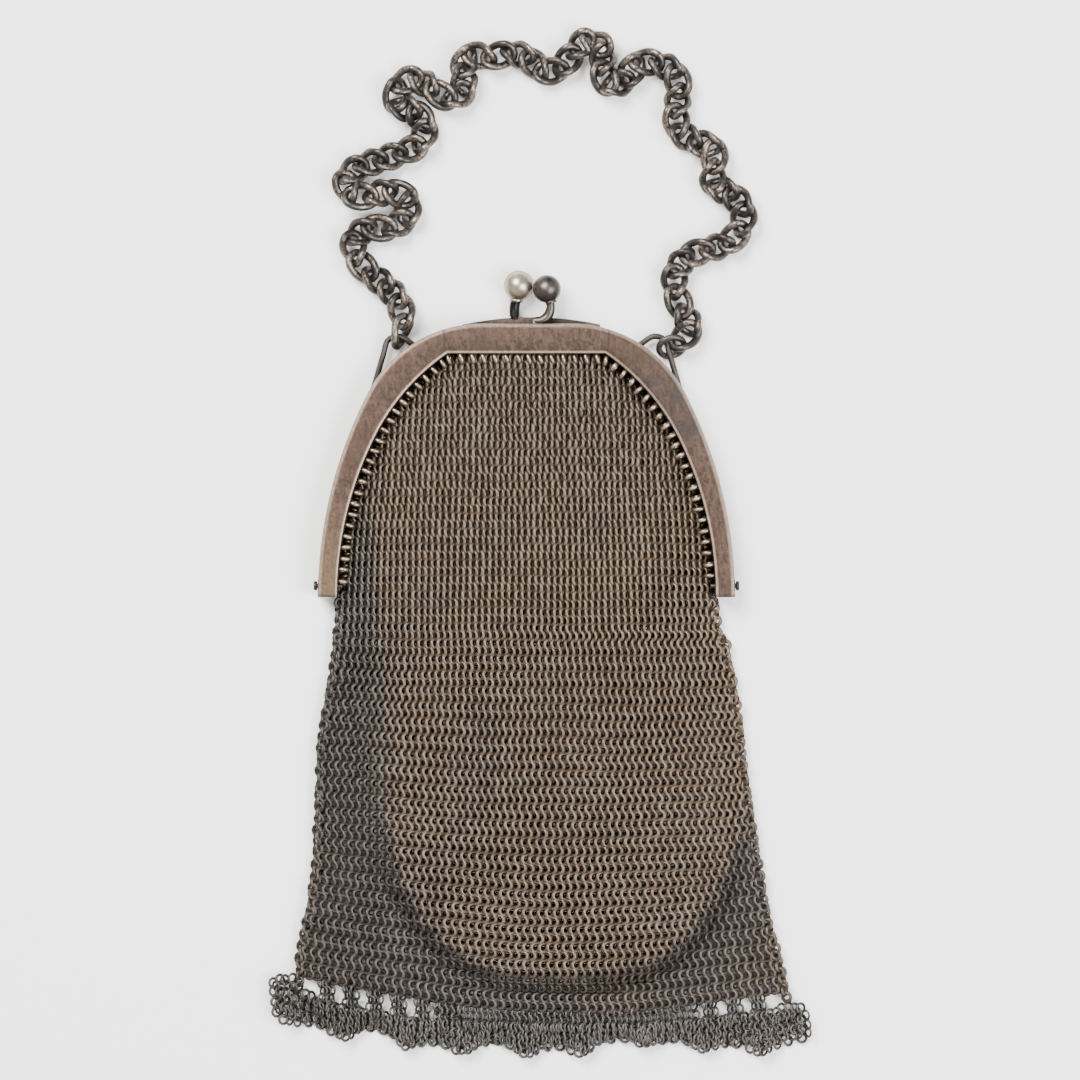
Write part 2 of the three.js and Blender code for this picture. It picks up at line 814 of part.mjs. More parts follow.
// Strands that cross or crowd each other in plan: the higher one is lifted clear of the lower
const settleStrands = (joints) => {
  const spots = [joints[0].clone()];
  for (let k = 1; k < joints.length; k += 1) {
    spots.push(joints[k - 1].clone().lerp(joints[k], 0.5), joints[k].clone());
  }
  const reach = strand_slope * link_pitch / 2;
  const last = spots.length - 1;
  for (let pass = 0; pass < 60; pass += 1) {
    for (let i = 0; i <= last; i += 1) {
      for (let j = i + 4; j <= last; j += 1) {
        const plan = Math.hypot(spots[i].x - spots[j].x, spots[i].y - spots[j].y);
        if (plan < strand_width) {
          const clear = strand_height * Math.sqrt(1 - (plan / strand_width) ** 2);
          const [under, over] = spots[i].z > spots[j].z ? [spots[j], spots[i]] : [spots[i], spots[j]];
          over.z = Math.max(over.z, under.z + clear);
        }
      }
    }
    for (let k = 1; k < last; k += 1) {
      spots[k].z = Math.max(spots[k].z, spots[k - 1].z - reach);
      spots[last - k].z = Math.max(spots[last - k].z, spots[last - k + 1].z - reach);
    }
    spots[0].z = joints[0].z;
    spots[last].z = joints[joints.length - 1].z;
  }
  return spots.filter((spot, k) => k % 2 === 0);
};

const chainJoints = () => {
  const between = chain_route.map(routePoint);
  const laid = easeBends(equalSteps([chain_start, ...between, chain_turn]));
  return [...equalSteps(settleStrands(laid)), chain_end];
};

// One twisted oval link between two joints, rolled from its first end to its second
const chainLink = (from, to, first_roll, last_roll) => {
  const along = to.clone().sub(from).normalize();
  const side = vec(0, 0, 1).cross(along).normalize();
  const up = along.clone().cross(side);
  const center = from.clone().add(to).multiplyScalar(0.5);
  const reach = (from.distanceTo(to) / 2 + tip_overhang) / linkOval(tip_turn, 1).along;
  const place = (angle) => {
    const roll = rad(lerp(first_roll, last_roll, (1 + Math.cos(angle)) / 2));
    const across = side.clone().multiplyScalar(Math.cos(roll)).addScaledVector(up, Math.sin(roll));
    const oval = linkOval(angle, reach);
    return center.clone()
      .addScaledVector(along, oval.along)
      .addScaledVector(across, oval.across);
  };
  const loops = [];
  for (let k = 0; k < link_steps; k += 1) {
    const angle = (2 * Math.PI * (k + 0.5)) / link_steps;
    const spot = place(angle);
    const tangent = place(angle + 0.01).sub(place(angle - 0.01)).normalize();
    const inward = center.clone().sub(spot);
    inward.addScaledVector(tangent, -inward.dot(tangent)).normalize();
    const third = tangent.clone().cross(inward);
    const loop = [];
    for (let j = 0; j < wire_sides; j += 1) {
      const turn = (2 * Math.PI * j) / wire_sides;
      loop.push(spot.clone()
        .addScaledVector(inward, link_corner * Math.cos(turn))
        .addScaledVector(third, link_corner * Math.sin(turn)));
    }
    loops.push(loop);
  }
  return ringSolid(loops);
};

// Roll that turns a link's end bar to lie along a direction
const rollAlong = (from, to, direction) => {
  const along = to.clone().sub(from).normalize();
  const side = vec(0, 0, 1).cross(along).normalize();
  const up = along.cross(side);
  const slope = direction.dot(up) / direction.dot(side);
  return THREE.MathUtils.radToDeg(Math.atan(slope));
};

const handleChain = () => {
  const joints = chainJoints();
  let chain = null;
  for (let k = 0; k + 1 < joints.length; k += 1) {
    const first_roll = k === 0 ? first_link_roll : -link_twist;
    const last_roll = k + 2 === joints.length
      ? rollAlong(joints[k], joints[k + 1], ring_normal)
      : link_twist;
    const link = toSolid(chainLink(joints[k], joints[k + 1], first_roll, last_roll));
    chain = chain ? chain.add(link) : link;
  }
  return toGeometry(chain);
};

// Round ring between the right handle loop and the chain
const chainRing = () => {
  const loops = [];
  const ring_steps = 12;
  for (let k = 0; k < ring_steps; k += 1) {
    const radial = ringRadial((2 * Math.PI * k) / ring_steps);
    const spot = ring_center.clone().addScaledVector(radial, end_ring_radius);
    const loop = [];
    for (let j = 0; j < wire_sides; j += 1) {
      const turn = (2 * Math.PI * j) / wire_sides;
      loop.push(spot.clone()
        .addScaledVector(radial, -end_ring_corner * Math.cos(turn))
        .addScaledVector(ring_normal, end_ring_corner * Math.sin(turn)));
    }
    loops.push(loop);
  }
  return ringSolid(loops);
};

// Bag outline: its mouth follows the frame's inner edge, its sides this table and its bottom the hem
const bag_half_mouth = half_width - foot_band - mouth_gap;
const side_table = [
  { drop: 0, left: 0, right: 0 },
  { drop: 0.03, left: 0, right: 0 },
  { drop: 0.08, left: 0.02, right: 0.02 },
  { drop: 0.12, left: 0.04, right: 0.16 },
  { drop: 0.26, left: 0.25, right: 0.29 },
  { drop: 0.4, left: 0.45, right: 0.38 },
  { drop: 0.55, left: 0.5, right: 0.5 },
  { drop: 0.7, left: 0.56, right: 0.62 },
  { drop: 0.82, left: 0.72, right: 0.75 },
  { drop: 0.92, left: 0.96, right: 0.9 },
  { drop: 1, left: 1, right: 1 },
];

const sideSpread = (share, column) => {
  let row = 1;
  while (row + 1 < side_table.length && side_table[row].drop < share) {
    row += 1;
  }
  const above = side_table[row - 1];
  const below = side_table[row];
  return lerp(above[column], below[column], (share - above.drop) / (below.drop - above.drop));
};

const leftSide = (v) => {
  const x = -bag_half_mouth - left_flare * sideSpread(v, 'left');
  return new THREE.Vector2(x, -bag_drop * v);
};
const rightSide = (v) => {
  const x = bag_half_mouth + right_flare * sideSpread(v, 'right');
  return new THREE.Vector2(x, -bag_drop * v);
};

const hemLine = (u) => {
  const x = lerp(leftSide(1).x, rightSide(1).x, u);
  const sag = hem_sag * Math.sin(Math.PI * u);
  return new THREE.Vector2(x, -lerp(left_hem_drop, right_hem_drop, u) - sag);
};

// The hem as the bag's own facets draw it, at a place across the bag
const hemAt = (x) => {
  const spots = bag_columns.map(hemLine);
  let k = 1;
  while (k + 1 < spots.length && spots[k].x < x) {
    k += 1;
  }
  const share = (x - spots[k - 1].x) / (spots[k].x - spots[k - 1].x);
  return lerp(spots[k - 1].y, spots[k].y, Math.min(Math.max(share, 0), 1));
};

// Inner edge of the frame from the left foot (0) over the top to the right foot (1), set in by the gap
const mouthLine = (u) => {
  const hand = u < 0.5 ? -1 : 1;
  const from_foot = 1 - Math.abs(2 * u - 1);
  const side_length = inner_arch.side * (Math.PI / 2 - inner_arch.turned);
  const shoulder_length = inner_arch.shoulder * (inner_arch.turned - inner_arch.start);
  const total = side_length + shoulder_length + inner_arch.flat;
  const run = from_foot * total;
  let heading = Math.PI / 2 - run / inner_arch.side;
  if (run > side_length) {
    heading = inner_arch.turned - (run - side_length) / inner_arch.shoulder;
  }
  if (run > side_length + shoulder_length - 1e-6) {
    const x = total - run;
    const trim = Math.max(0, x - inner_arch.flat + mouth_gap);
    return new THREE.Vector2(hand * (x - trim * 0.5), inner_arch.height - mouth_gap);
  }
  const edge = inner_arch.at(heading);
  edge.addScaledVector(new THREE.Vector2(Math.sin(heading), Math.cos(heading)), -mouth_gap);
  return new THREE.Vector2(hand * edge.x, Math.max(edge.y, 0));
};

// Point of the bag's plan at u across and v down, blended from its four edges
const bagPlan = (u, v) => {
  const across = mouthLine(u).multiplyScalar(1 - v).add(hemLine(u).multiplyScalar(v));
  const left_push = leftSide(v).sub(leftSide(0).lerp(leftSide(1), v)).multiplyScalar(1 - u);
  const right_push = rightSide(v).sub(rightSide(0).lerp(rightSide(1), v)).multiplyScalar(u);
  const plan = across.add(left_push).add(right_push);
  if (plan.y > -bag_neck) {
    const side_center = half_width - foot_band - inner_arch.side;
    const level = Math.min(Math.max(plan.y, 0), inner_arch.side);
    const limit = side_center + Math.sqrt(inner_arch.side ** 2 - level ** 2) - mouth_gap;
    plan.x = Math.min(Math.max(plan.x, -limit), limit);
  }
  return plan;
};

const smooth = (value) => THREE.MathUtils.smoothstep(value, 0, 1);

// Height of the bag's upper face above the table: belly with a rounded bottom, thin seams,
// shallow folds down the left and a dent under the frame
const bagTop = (plan, u, v) => {
  const below = Math.min(plan.y + belly_level, 0);
  const belly_power = 2.6;
  const reach = (Math.abs(plan.x - belly_shift * smooth(v * 1.5)) / belly_half_width) ** belly_power
    + (Math.abs(below) / belly_depth) ** belly_power;
  const inside = 1 - reach ** (1 / belly_power);
  const lift = smooth(0.5 + (inside * belly_half_width) / belly_edge);
  const crown = Math.sin(Math.PI * Math.min(Math.max(u, 0), 1)) ** 0.6;
  const upper = lerp(mouth_thickness, belly_thickness, smooth(v * 2.2));
  const fold = 0.5 * Math.sin(plan.x * 0.22 + plan.y * 0.05) * smooth(v * 3) * smooth(3 - 3 * v);
  const body = lerp(flat_thickness, upper, lift) + fold;
  return lerp(seam_thickness, body, Math.min(crown * 1.25, 1));
};

const bag_columns = [0, 0.04, 0.12, 0.21, 0.3, 0.389, 0.5, 0.611, 0.7, 0.79, 0.88, 0.96, 1];
const bag_rows = [0, 0.03, 0.08, 0.16, 0.27, 0.4, 0.54, 0.67, 0.78, 0.86, 0.92, 1];

// A loop round the bag at one row; inset draws it in by the wall
const bagLoop = (v, inset) => {
  const upper = [];
  const lower = [];
  for (const u of bag_columns) {
    const plan = bagPlan(u, v);
    const top = bagTop(plan, u, v);
    const left = bagPlan(0, v);
    const right = bagPlan(1, v);
    const span = (right.x - left.x) / 2;
    const middle = (left.x + right.x) / 2;
    const x = middle + (plan.x - middle) * ((span - inset) / span);
    upper.push(vec(x, plan.y, top - inset));
    lower.push(vec(x, plan.y, inset));
  }
  return [...upper, ...lower.reverse()];
};

const meshBag = () => {
  const outer = bag_rows.map((v) => bagLoop(v, 0));
  const inner = bag_rows.map((v) => bagLoop(Math.min(v, 1 - mail_wall / bag_drop), mail_wall));
  const count = outer[0].length;
  const rows = bag_rows.length;
  const points = [...outer.flat(), ...inner.flat()];
  const inner_start = rows * count;
  const triangles = [];
  for (let row = 0; row + 1 < rows; row += 1) {
    triangles.push(...stripBetween(row * count, (row + 1) * count, count));
    const inner_row = inner_start + row * count;
    for (const [a, b, c] of stripBetween(inner_row, inner_row + count, count)) {
      triangles.push([a, c, b]);
    }
  }
  for (const [a, b, c] of stripBetween(inner_start, 0, count)) {
    triangles.push([a, b, c]);
  }
  const closeEnd = (start, flip) => {
    const half = count / 2;
    for (let k = 0; k + 1 < half; k += 1) {
      const a = start + k;
      const b = start + k + 1;
      const c = start + count - 2 - k;
      const d = start + count - 1 - k;
      triangles.push(flip ? [a, c, b] : [a, b, c]);
      triangles.push(flip ? [a, d, c] : [a, c, d]);
    }
  };
  closeEnd((rows - 1) * count, false);
  closeEnd(inner_start + (rows - 1) * count, true);
  return closedGeometry(points, triangles);
};

// Frill: a ruffled strip under the hem, reaching past both sides of the bag
const frill_left = leftSide(1).x - frill_left_reach;
const frill_right = rightSide(1).x + frill_right_reach;

// Columns: along is a share of the frill's length, head and tail are shares of its height
// below the line that joins the bag's bottom corners
const frill_table = [
  { along: 0, head: -0.1, tail: 0.2 },
  { along: 0.045, head: -0.3, tail: 0.55 },
  { along: 0.062, head: -0.05, tail: 0.68 },
  { along: 0.114, head: 0.06, tail: 0.88 },
  { along: 0.206, head: 0.26, tail: 0.86 },
  { along: 0.255, head: 0.36, tail: 1.08 },
  { along: 0.338, head: 0.55, tail: 1.2 },
  { along: 0.421, head: 0.6, tail: 1.14 },
  { along: 0.484, head: 0.62, tail: 1.28 },
  { along: 0.576, head: 0.64, tail: 1.24 },
  { along: 0.673, head: 0.62, tail: 0.98 },
  { along: 0.722, head: 0.6, tail: 1.08 },
  { along: 0.812, head: 0.52, tail: 1.16 },
  { along: 0.903, head: 0.38, tail: 1.24 },
  { along: 0.955, head: 0.31, tail: 1.12 },
  { along: 1, head: 0.5, tail: 0.8 },
];

const frillEdge = (share, column) => {
  let row = 1;
  while (row + 1 < frill_table.length && frill_table[row].along < share) {
    row += 1;
  }
  const before = frill_table[row - 1];
  const after = frill_table[row];
  const part = (share - before.along) / (after.along - before.along);
  return -bag_drop - frill_height * lerp(before[column], after[column], part);
};

// Columns of the frill lie half a post apart, so that every second pair carries a post
const frillGrid = () => {
  const hem_left = leftSide(1).x;
  const hem_right = rightSide(1).x;
  const post_count = Math.floor((hem_right - hem_left - post_width) / post_pitch);
  const middle = (hem_left + hem_right) / 2;
  const columns = [];
  const posts = new Set();
  const addRun = (from, to, step) => {
    const cells = Math.max(1, Math.round((to - from) / step));
    for (let k = 1; k <= cells; k += 1) {
      columns.push(lerp(from, to, k / cells));
    }
  };
  const first_post = middle - ((post_count - 1) / 2) * post_pitch - post_width / 2;
  const last_post = first_post + (post_count - 1) * post_pitch + post_width;
  columns.push(frill_left);
  addRun(frill_left, hem_left - 2 * fit_gap, post_width);
  addRun(hem_left - 2 * fit_gap, first_post, post_width);
  for (let k = 0; k < post_count; k += 1) {
    const start = first_post + k * post_pitch;
    posts.add(columns.length - 1);
    columns.push(start + post_width);
    if (k + 1 < post_count) {
      columns.push(start + post_pitch);
    }
  }
  addRun(last_post, hem_right + 2 * fit_gap, post_width);
  addRun(hem_right + 2 * fit_gap, frill_right, post_width);
  return { columns, posts };
};

const frillSpine = (x, on_post) => {
  const share = (x - frill_left) / (frill_right - frill_left);
  const wave = Math.sin(2 * Math.PI * frill_waves * share);
  const sway = frill_sway * Math.cos(2 * Math.PI * frill_waves * share);
  const head = frillEdge(share, 'head');
  const tail = frillEdge(share, 'tail') - frill_scallop * (1 + wave) / 2;
  const rest = frill_thickness / 2 + frill_wave;
  const spine = [
    vec(x, head, rest * 0.7 + 0.3 * frill_wave * wave),
    vec(x + 0.5 * sway, lerp(head, tail, 0.5), rest + 0.8 * frill_wave * wave),
    vec(x + sway, tail, rest + frill_wave * wave),
  ];
  if (on_post) {
    spine.unshift(vec(x, Math.max(hemAt(x) - fit_gap, head + fit_gap), spine[0].z));
  } else {
    spine.unshift(spine[0].clone());
  }
  return spine;
};

// Thick sheet made of the cells of a grid that are filled
const cellSheet = (spines, filled, thickness) => {
  const points = [];
  const rows = spines[0].length;
  for (const spine of spines) {
    for (const spot of spine) {
      points.push(vec(spot.x, spot.y, spot.z + thickness / 2));
      points.push(vec(spot.x, spot.y, spot.z - thickness / 2));
    }
  }
  const at = (column, row, under) => (column * rows + row) * 2 + under;
  const triangles = [];
  const quad = (a, b, c, d) => triangles.push([a, b, c], [a, c, d]);
  for (let c = 0; c + 1 < spines.length; c += 1) {
    for (let r = 0; r + 1 < rows; r += 1) {
      if (!filled(c, r)) {
        continue;
      }
      quad(at(c, r, 0), at(c, r + 1, 0), at(c + 1, r + 1, 0), at(c + 1, r, 0));
      quad(at(c, r, 1), at(c + 1, r, 1), at(c + 1, r + 1, 1), at(c, r + 1, 1));
      if (!filled(c - 1, r)) {
        quad(at(c, r, 0), at(c, r, 1), at(c, r + 1, 1), at(c, r + 1, 0));
      }
      if (!filled(c + 1, r)) {
        quad(at(c + 1, r, 0), at(c + 1, r + 1, 0), at(c + 1, r + 1, 1), at(c + 1, r, 1));
      }
      if (!filled(c, r - 1)) {
        quad(at(c, r, 0), at(c + 1, r, 0), at(c + 1, r, 1), at(c, r, 1));
      }
      if (!filled(c, r + 1)) {
        quad(at(c, r + 1, 0), at(c, r + 1, 1), at(c + 1, r + 1, 1), at(c + 1, r + 1, 0));
      }
    }
  }
  return closedGeometry(points, triangles);
};

const hemFrill = () => {
  const { columns, posts } = frillGrid();
  const on_post = (k) => posts.has(k) || posts.has(k - 1);
  const spines = columns.map((x, k) => frillSpine(x, on_post(k)));
  const rows = spines[0].length;
  const filled = (c, r) => c >= 0 && c + 1 < columns.length && r >= 0 && r + 1 < rows
    && (r > 0 || posts.has(c));
  return cellSheet(spines, filled, frill_thickness);
};

// Materials
const finishes = {
  frame_metal: { color: 0x8f7264, roughness: 0.45, metalness: 0.85 },
  ball_metal: { color: 0xb3a79a, roughness: 0.3, metalness: 0.9 },
  dark_ball_metal: { color: 0x86827e, roughness: 0.35, metalness: 0.9 },
  chain_metal: { color: 0x55504c, roughness: 0.45, metalness: 0.85 },
  mail_metal: { color: 0x6f6252, roughness: 0.55, metalness: 0.75 },
};

const purse = new THREE.Group();
const addPiece = (name, geometry, finish) => {
  const mesh = new THREE.Mesh(geometry, new THREE.MeshStandardMaterial(finishes[finish]));
  mesh.name = name;
  purse.add(mesh);
};

addPiece('frame_front', frameFront(), 'frame_metal');
addPiece('frame_back', frameBack(), 'frame_metal');
addPiece('clasp_knob_front', claspKnobFront(), 'dark_ball_metal');
addPiece('clasp_knob_back', claspKnobBack(), 'ball_metal');
addPiece('hinge_pin_left', hingePin(-1), 'frame_metal');
addPiece('hinge_pin_right', hingePin(1), 'frame_metal');
addPiece('chain_ring_right', chainRing(), 'chain_metal');
addPiece('handle_chain', handleChain(), 'chain_metal');
addPiece('mesh_bag', meshBag(), 'mail_metal');
addPiece('hem_frill', hemFrill(), 'mail_metal');

const box = new THREE.Box3().setFromObject(purse);
purse.position.set(-(box.min.x + box.max.x) / 2, -(box.min.y + box.max.y) / 2, -box.min.z);

export default purse;
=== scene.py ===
import math
import random

import bpy
import numpy as np
from mathutils import Matrix, Vector


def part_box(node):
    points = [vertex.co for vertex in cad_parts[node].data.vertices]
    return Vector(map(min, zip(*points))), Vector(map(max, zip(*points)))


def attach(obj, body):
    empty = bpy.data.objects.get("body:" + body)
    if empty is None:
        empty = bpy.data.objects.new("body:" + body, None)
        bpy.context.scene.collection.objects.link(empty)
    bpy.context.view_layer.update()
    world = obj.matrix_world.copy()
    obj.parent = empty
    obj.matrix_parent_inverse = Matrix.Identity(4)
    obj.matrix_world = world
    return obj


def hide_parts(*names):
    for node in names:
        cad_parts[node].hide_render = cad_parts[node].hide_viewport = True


# The purse lies flat and is seen from straight above. Its pieces are drawn in millimetres
# from the hinge line, as in the part's source, and are moved to the row's place in metres.
MM = 0.001
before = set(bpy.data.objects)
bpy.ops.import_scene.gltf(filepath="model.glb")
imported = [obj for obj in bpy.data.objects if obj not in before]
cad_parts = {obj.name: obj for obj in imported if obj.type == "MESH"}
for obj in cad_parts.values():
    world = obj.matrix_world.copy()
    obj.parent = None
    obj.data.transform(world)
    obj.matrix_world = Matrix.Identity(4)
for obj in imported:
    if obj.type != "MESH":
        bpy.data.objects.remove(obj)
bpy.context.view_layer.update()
front_low, front_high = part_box("frame_front")

half_width = 52.0
frame_height = 68.2
parting = 4.15
half_depth = 4.0
sheet = 0.9
fit_gap = 0.3
foot_band = 4.8
crown_band = 7.45
hinge_rise = 2.8
shift = Vector((
    front_low.x / MM + half_width,
    front_low.y / MM,
    front_high.z / MM - parting - fit_gap / 2 - half_depth,
))
chance = random.Random(7)
flat_axes = (Vector((1, 0, 0)), Vector((0, 1, 0)), Vector((0, 0, 1)))

# The bulged belly of the bag, seen from above: an oval with squarer corners
belly_middle, belly_half_width = 9, 48
belly_level, belly_reach, belly_power = 30.0, 67, 2.6


def smooth(value):
    value = min(max(value, 0.0), 1.0)
    return value * value * (3 - 2 * value)


def mix(a, b, share):
    return a + (b - a) * share


# ------------------------------------------------------------------ shader helpers

class Value:
    """A number that changes over a surface; sums on it are written as on any number."""

    def __init__(self, finish, socket):
        self.finish = finish
        self.socket = socket

    def sum(self, operation, first, second=0.0):
        made = self.finish.node("ShaderNodeMath", {"operation": operation},
                                {0: first, 1: second})
        return Value(self.finish, made.outputs[0])

    def __add__(self, other):
        return self.sum("ADD", self, other)

    __radd__ = __add__

    def __sub__(self, other):
        return self.sum("SUBTRACT", self, other)

    def __rsub__(self, other):
        return self.sum("SUBTRACT", other, self)

    def __mul__(self, other):
        return self.sum("MULTIPLY", self, other)

    __rmul__ = __mul__

    def __truediv__(self, other):
        return self.sum("DIVIDE", self, other)

    def __pow__(self, other):
        return self.sum("POWER", self, other)

    def size(self):
        return self.sum("ABSOLUTE", self)

    def least(self, other):
        return self.sum("MINIMUM", self, other)

    def most(self, other):
        return self.sum("MAXIMUM", self, other)

    def held(self):
        return self.least(1.0).most(0.0)

    def between(self, low, high):
        """0 at low, 1 at high and a soft turn between them."""
        span = self.finish.node("ShaderNodeMapRange", {"interpolation_type": "SMOOTHSTEP"},
                                {"Value": self, "From Min": low, "From Max": high})
        return Value(self.finish, span.outputs["Result"])


class Finish:
    """One metal finish and the nodes that it is made of."""

    def __init__(self, name, **constants):
        self.material = bpy.data.materials.new(name)
        self.material.use_nodes = True
        self.tree = self.material.node_tree
        self.tree.nodes.clear()
        self.shader = self.node("ShaderNodeBsdfPrincipled", {}, constants)
        output = self.node("ShaderNodeOutputMaterial")
        self.tree.links.new(self.shader.outputs[0], output.inputs["Surface"])
        self.coordinates = self.node("ShaderNodeTexCoord").outputs["Object"]

    def node(self, kind, settings=None, sockets=None):
        made = self.tree.nodes.new(kind)
        for key, value in (settings or {}).items():
            setattr(made, key, value)
        for key, value in (sockets or {}).items():
            socket = made.inputs[key]
            if isinstance(value, Value):
                value = value.socket
            if isinstance(value, bpy.types.NodeSocket):
                self.tree.links.new(value, socket)
            elif isinstance(value, tuple) and len(value) == 3 and socket.type == "RGBA":
                socket.default_value = (*value, 1.0)
            else:
                socket.default_value = value
        return made

    def places(self):
        """The three coordinates in millimetres from the hinge line."""
        split = self.node("ShaderNodeSeparateXYZ", {}, {0: self.coordinates})
        found = []
        for axis in range(3):
            found.append(Value(self, split.outputs[axis]) * (1 / MM) - shift[axis])
        return found

    def noise(self, per_mm, detail=3.0, rough=0.55, stretch=None, turn=0.0):
        source = self.coordinates
        if stretch:
            moved = self.node("ShaderNodeMapping", {},
                              {"Vector": source, "Rotation": (0, 0, turn), "Scale": stretch})
            source = moved.outputs[0]
        made = self.node("ShaderNodeTexNoise", {}, {
            "Vector": source, "Scale": per_mm / MM, "Detail": detail, "Roughness": rough})
        return Value(self, made.outputs[0])

    def attribute(self, name):
        made = self.node("ShaderNodeAttribute", {"attribute_name": name})
        return Value(self, made.outputs["Fac"])

    def outline(self):
        """0 where the metal faces the eye and 1 where it turns away."""
        return Value(self, self.node("ShaderNodeLayerWeight", {}, {"Blend": 0.5}).outputs[1])

    def color(self, first, second, share):
        made = self.node("ShaderNodeMix", {"data_type": "RGBA", "clamp_factor": True},
                         {0: share, 6: first, 7: second})
        return made.outputs[2]

    def feed(self, name, value):
        socket = value.socket if isinstance(value, Value) else value
        self.tree.links.new(socket, self.shader.inputs[name])

    def bump(self, height, depth_mm, strength=1.0):
        made = self.node("ShaderNodeBump", {}, {
            "Height": height, "Distance": depth_mm * MM, "Strength": strength})
        self.tree.links.new(made.outputs[0], self.shader.inputs["Normal"])


# ------------------------------------------------------------------ mesh helpers

def clear_selection():
    for other in list(bpy.context.selected_objects):
        other.select_set(False)
    bpy.context.view_layer.objects.active = None


def pick(*objects):
    clear_selection()
    for each in objects:
        each.select_set(True)
    bpy.context.view_layer.objects.active = objects[0]


def apply_modifier(made, kind, **settings):
    pick(made)
    modifier = made.modifiers.new(kind.title(), kind)
    for key, value in settings.items():
        setattr(modifier, key, value)
    bpy.ops.object.modifier_apply(modifier=modifier.name)


def in_place(made):
    """Bakes the object's own move into its mesh and takes it from millimetres to the row."""
    pick(made)
    bpy.ops.object.transform_apply(location=True, rotation=True, scale=True)
    made.data.transform(Matrix.Scale(MM, 4) @ Matrix.Translation(shift))
    return made


def joined(*objects):
    pick(*objects)
    bpy.ops.object.join()
    return objects[0]


def smoothed(made, degrees=35):
    pick(made)
    bpy.ops.object.shade_smooth_by_angle(angle=math.radians(degrees))
    return made


def closed(made):
    """Fills the open ends of a drawn shape and turns its faces outward."""
    pick(made)
    bpy.ops.object.mode_set(mode="EDIT")
    bpy.ops.mesh.select_all(action="SELECT")
    bpy.ops.mesh.fill_holes(sides=0)
    bpy.ops.mesh.select_all(action="SELECT")
    bpy.ops.mesh.normals_make_consistent(inside=False)
    bpy.ops.object.mode_set(mode="OBJECT")
    return made


def tube_quads(rows, count):
    """Faces between neighbouring rows of a closed section with count points."""
    return np.array([(row * count + k, row * count + (k + 1) % count,
                      (row + 1) * count + (k + 1) % count, (row + 1) * count + k)
                     for row in range(rows - 1) for k in range(count)])


def finished(made, name, finish, slot, *nodes):
    made.name = name
    made.data.name = name
    made.data.materials.clear()
    made.data.materials.append(finish.material)
    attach(made, "root")
    if nodes:
        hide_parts(*nodes)
    return made


def mesh_object(name, points, quads, **tones):
    """A mesh from points in millimetres and four-sided faces; tones are kept on the points."""
    mesh = bpy.data.meshes.new(name)
    mesh.vertices.add(len(points))
    mesh.vertices.foreach_set("co", (points + np.array(shift)).ravel() * MM)
    mesh.loops.add(quads.size)
    mesh.loops.foreach_set("vertex_index", quads.ravel())
    mesh.polygons.add(len(quads))
    mesh.polygons.foreach_set("loop_start", np.arange(0, quads.size, 4))
    mesh.polygons.foreach_set("use_smooth", np.ones(len(quads), bool))
    mesh.update(calc_edges=True)
    for key, values in tones.items():
        layer = mesh.attributes.new(key, "FLOAT", "POINT")
        layer.data.foreach_set("value", np.asarray(values, np.float32))
    made = bpy.data.objects.new(name, mesh)
    bpy.context.scene.collection.objects.link(made)
    return made


class Pattern:
    """A small shape modelled once, whose copies are joined into one mesh."""

    def __init__(self, made):
        bpy.context.view_layer.update()
        count = len(made.data.vertices)
        self.points = np.zeros(count * 3)
        made.data.vertices.foreach_get("co", self.points)
        self.points = self.points.reshape(-1, 3)
        self.quads = np.array([tuple(face.vertices) for face in made.data.polygons])
        bpy.data.objects.remove(made)

    def spread(self, name, places, tones, facing=None):
        """places are (centre, first axis, second axis, third axis) in millimetres; facing tells
        which half of each copy, along its second axis, stands up: it is kept as rubbed bright
        metal, and the lower half gets painted shade with tarnish."""
        centers = np.array([tuple(place[0]) for place in places])
        axes = np.array([[tuple(axis) for axis in place[1:]] for place in places])
        count = len(self.points)
        points = (self.points @ axes + centers[:, None]).reshape(-1, 3)
        steps = np.arange(len(places))[:, None, None] * count
        quads = (self.quads[None] + steps).reshape(-1, 4)
        kept = {"tone": np.repeat(np.array(tones), count)}
        if facing is not None:
            across = self.points[:, 1] / self.points[:, 1].max()
            kept["rub"] = (0.5 + 0.5 * np.array(facing)[:, None] * across[None]).ravel()
        return mesh_object(name, points, quads, **kept)


def wire_ring(outer, wire, around, sides):
    clear_selection()
    bpy.ops.mesh.primitive_torus_add(
        major_segments=around, minor_segments=sides,
        major_radius=(outer - wire) / 2, minor_radius=wire / 2)
    return bpy.context.object


def curve_between(points, steps):
    """Points on one smooth curve through the given ones."""
    ends = [points[0] * 2 - points[1], *points, points[-1] * 2 - points[-2]]
    found = []
    pieces = len(points) - 1
    for k in range(steps + 1):
        place = pieces * k / steps
        number = min(int(place), pieces - 1)
        t = place - number
        p0, p1, p2, p3 = ends[number:number + 4]
        d0 = max((p1 - p0).length ** 0.5, 1e-4)
        d1 = max((p2 - p1).length ** 0.5, 1e-4)
        d2 = max((p3 - p2).length ** 0.5, 1e-4)
        start = ((p1 - p0) / d0 - (p2 - p0) / (d0 + d1) + (p2 - p1) / d1) * d1
        end = ((p2 - p1) / d1 - (p3 - p1) / (d1 + d2) + (p3 - p2) / d2) * d1
        found.append(p1 + start * t + (p2 * 3 - p1 * 3 - start * 2 - end) * t ** 2
                     + (p1 * 2 - p2 * 2 + start + end) * t ** 3)
    return found


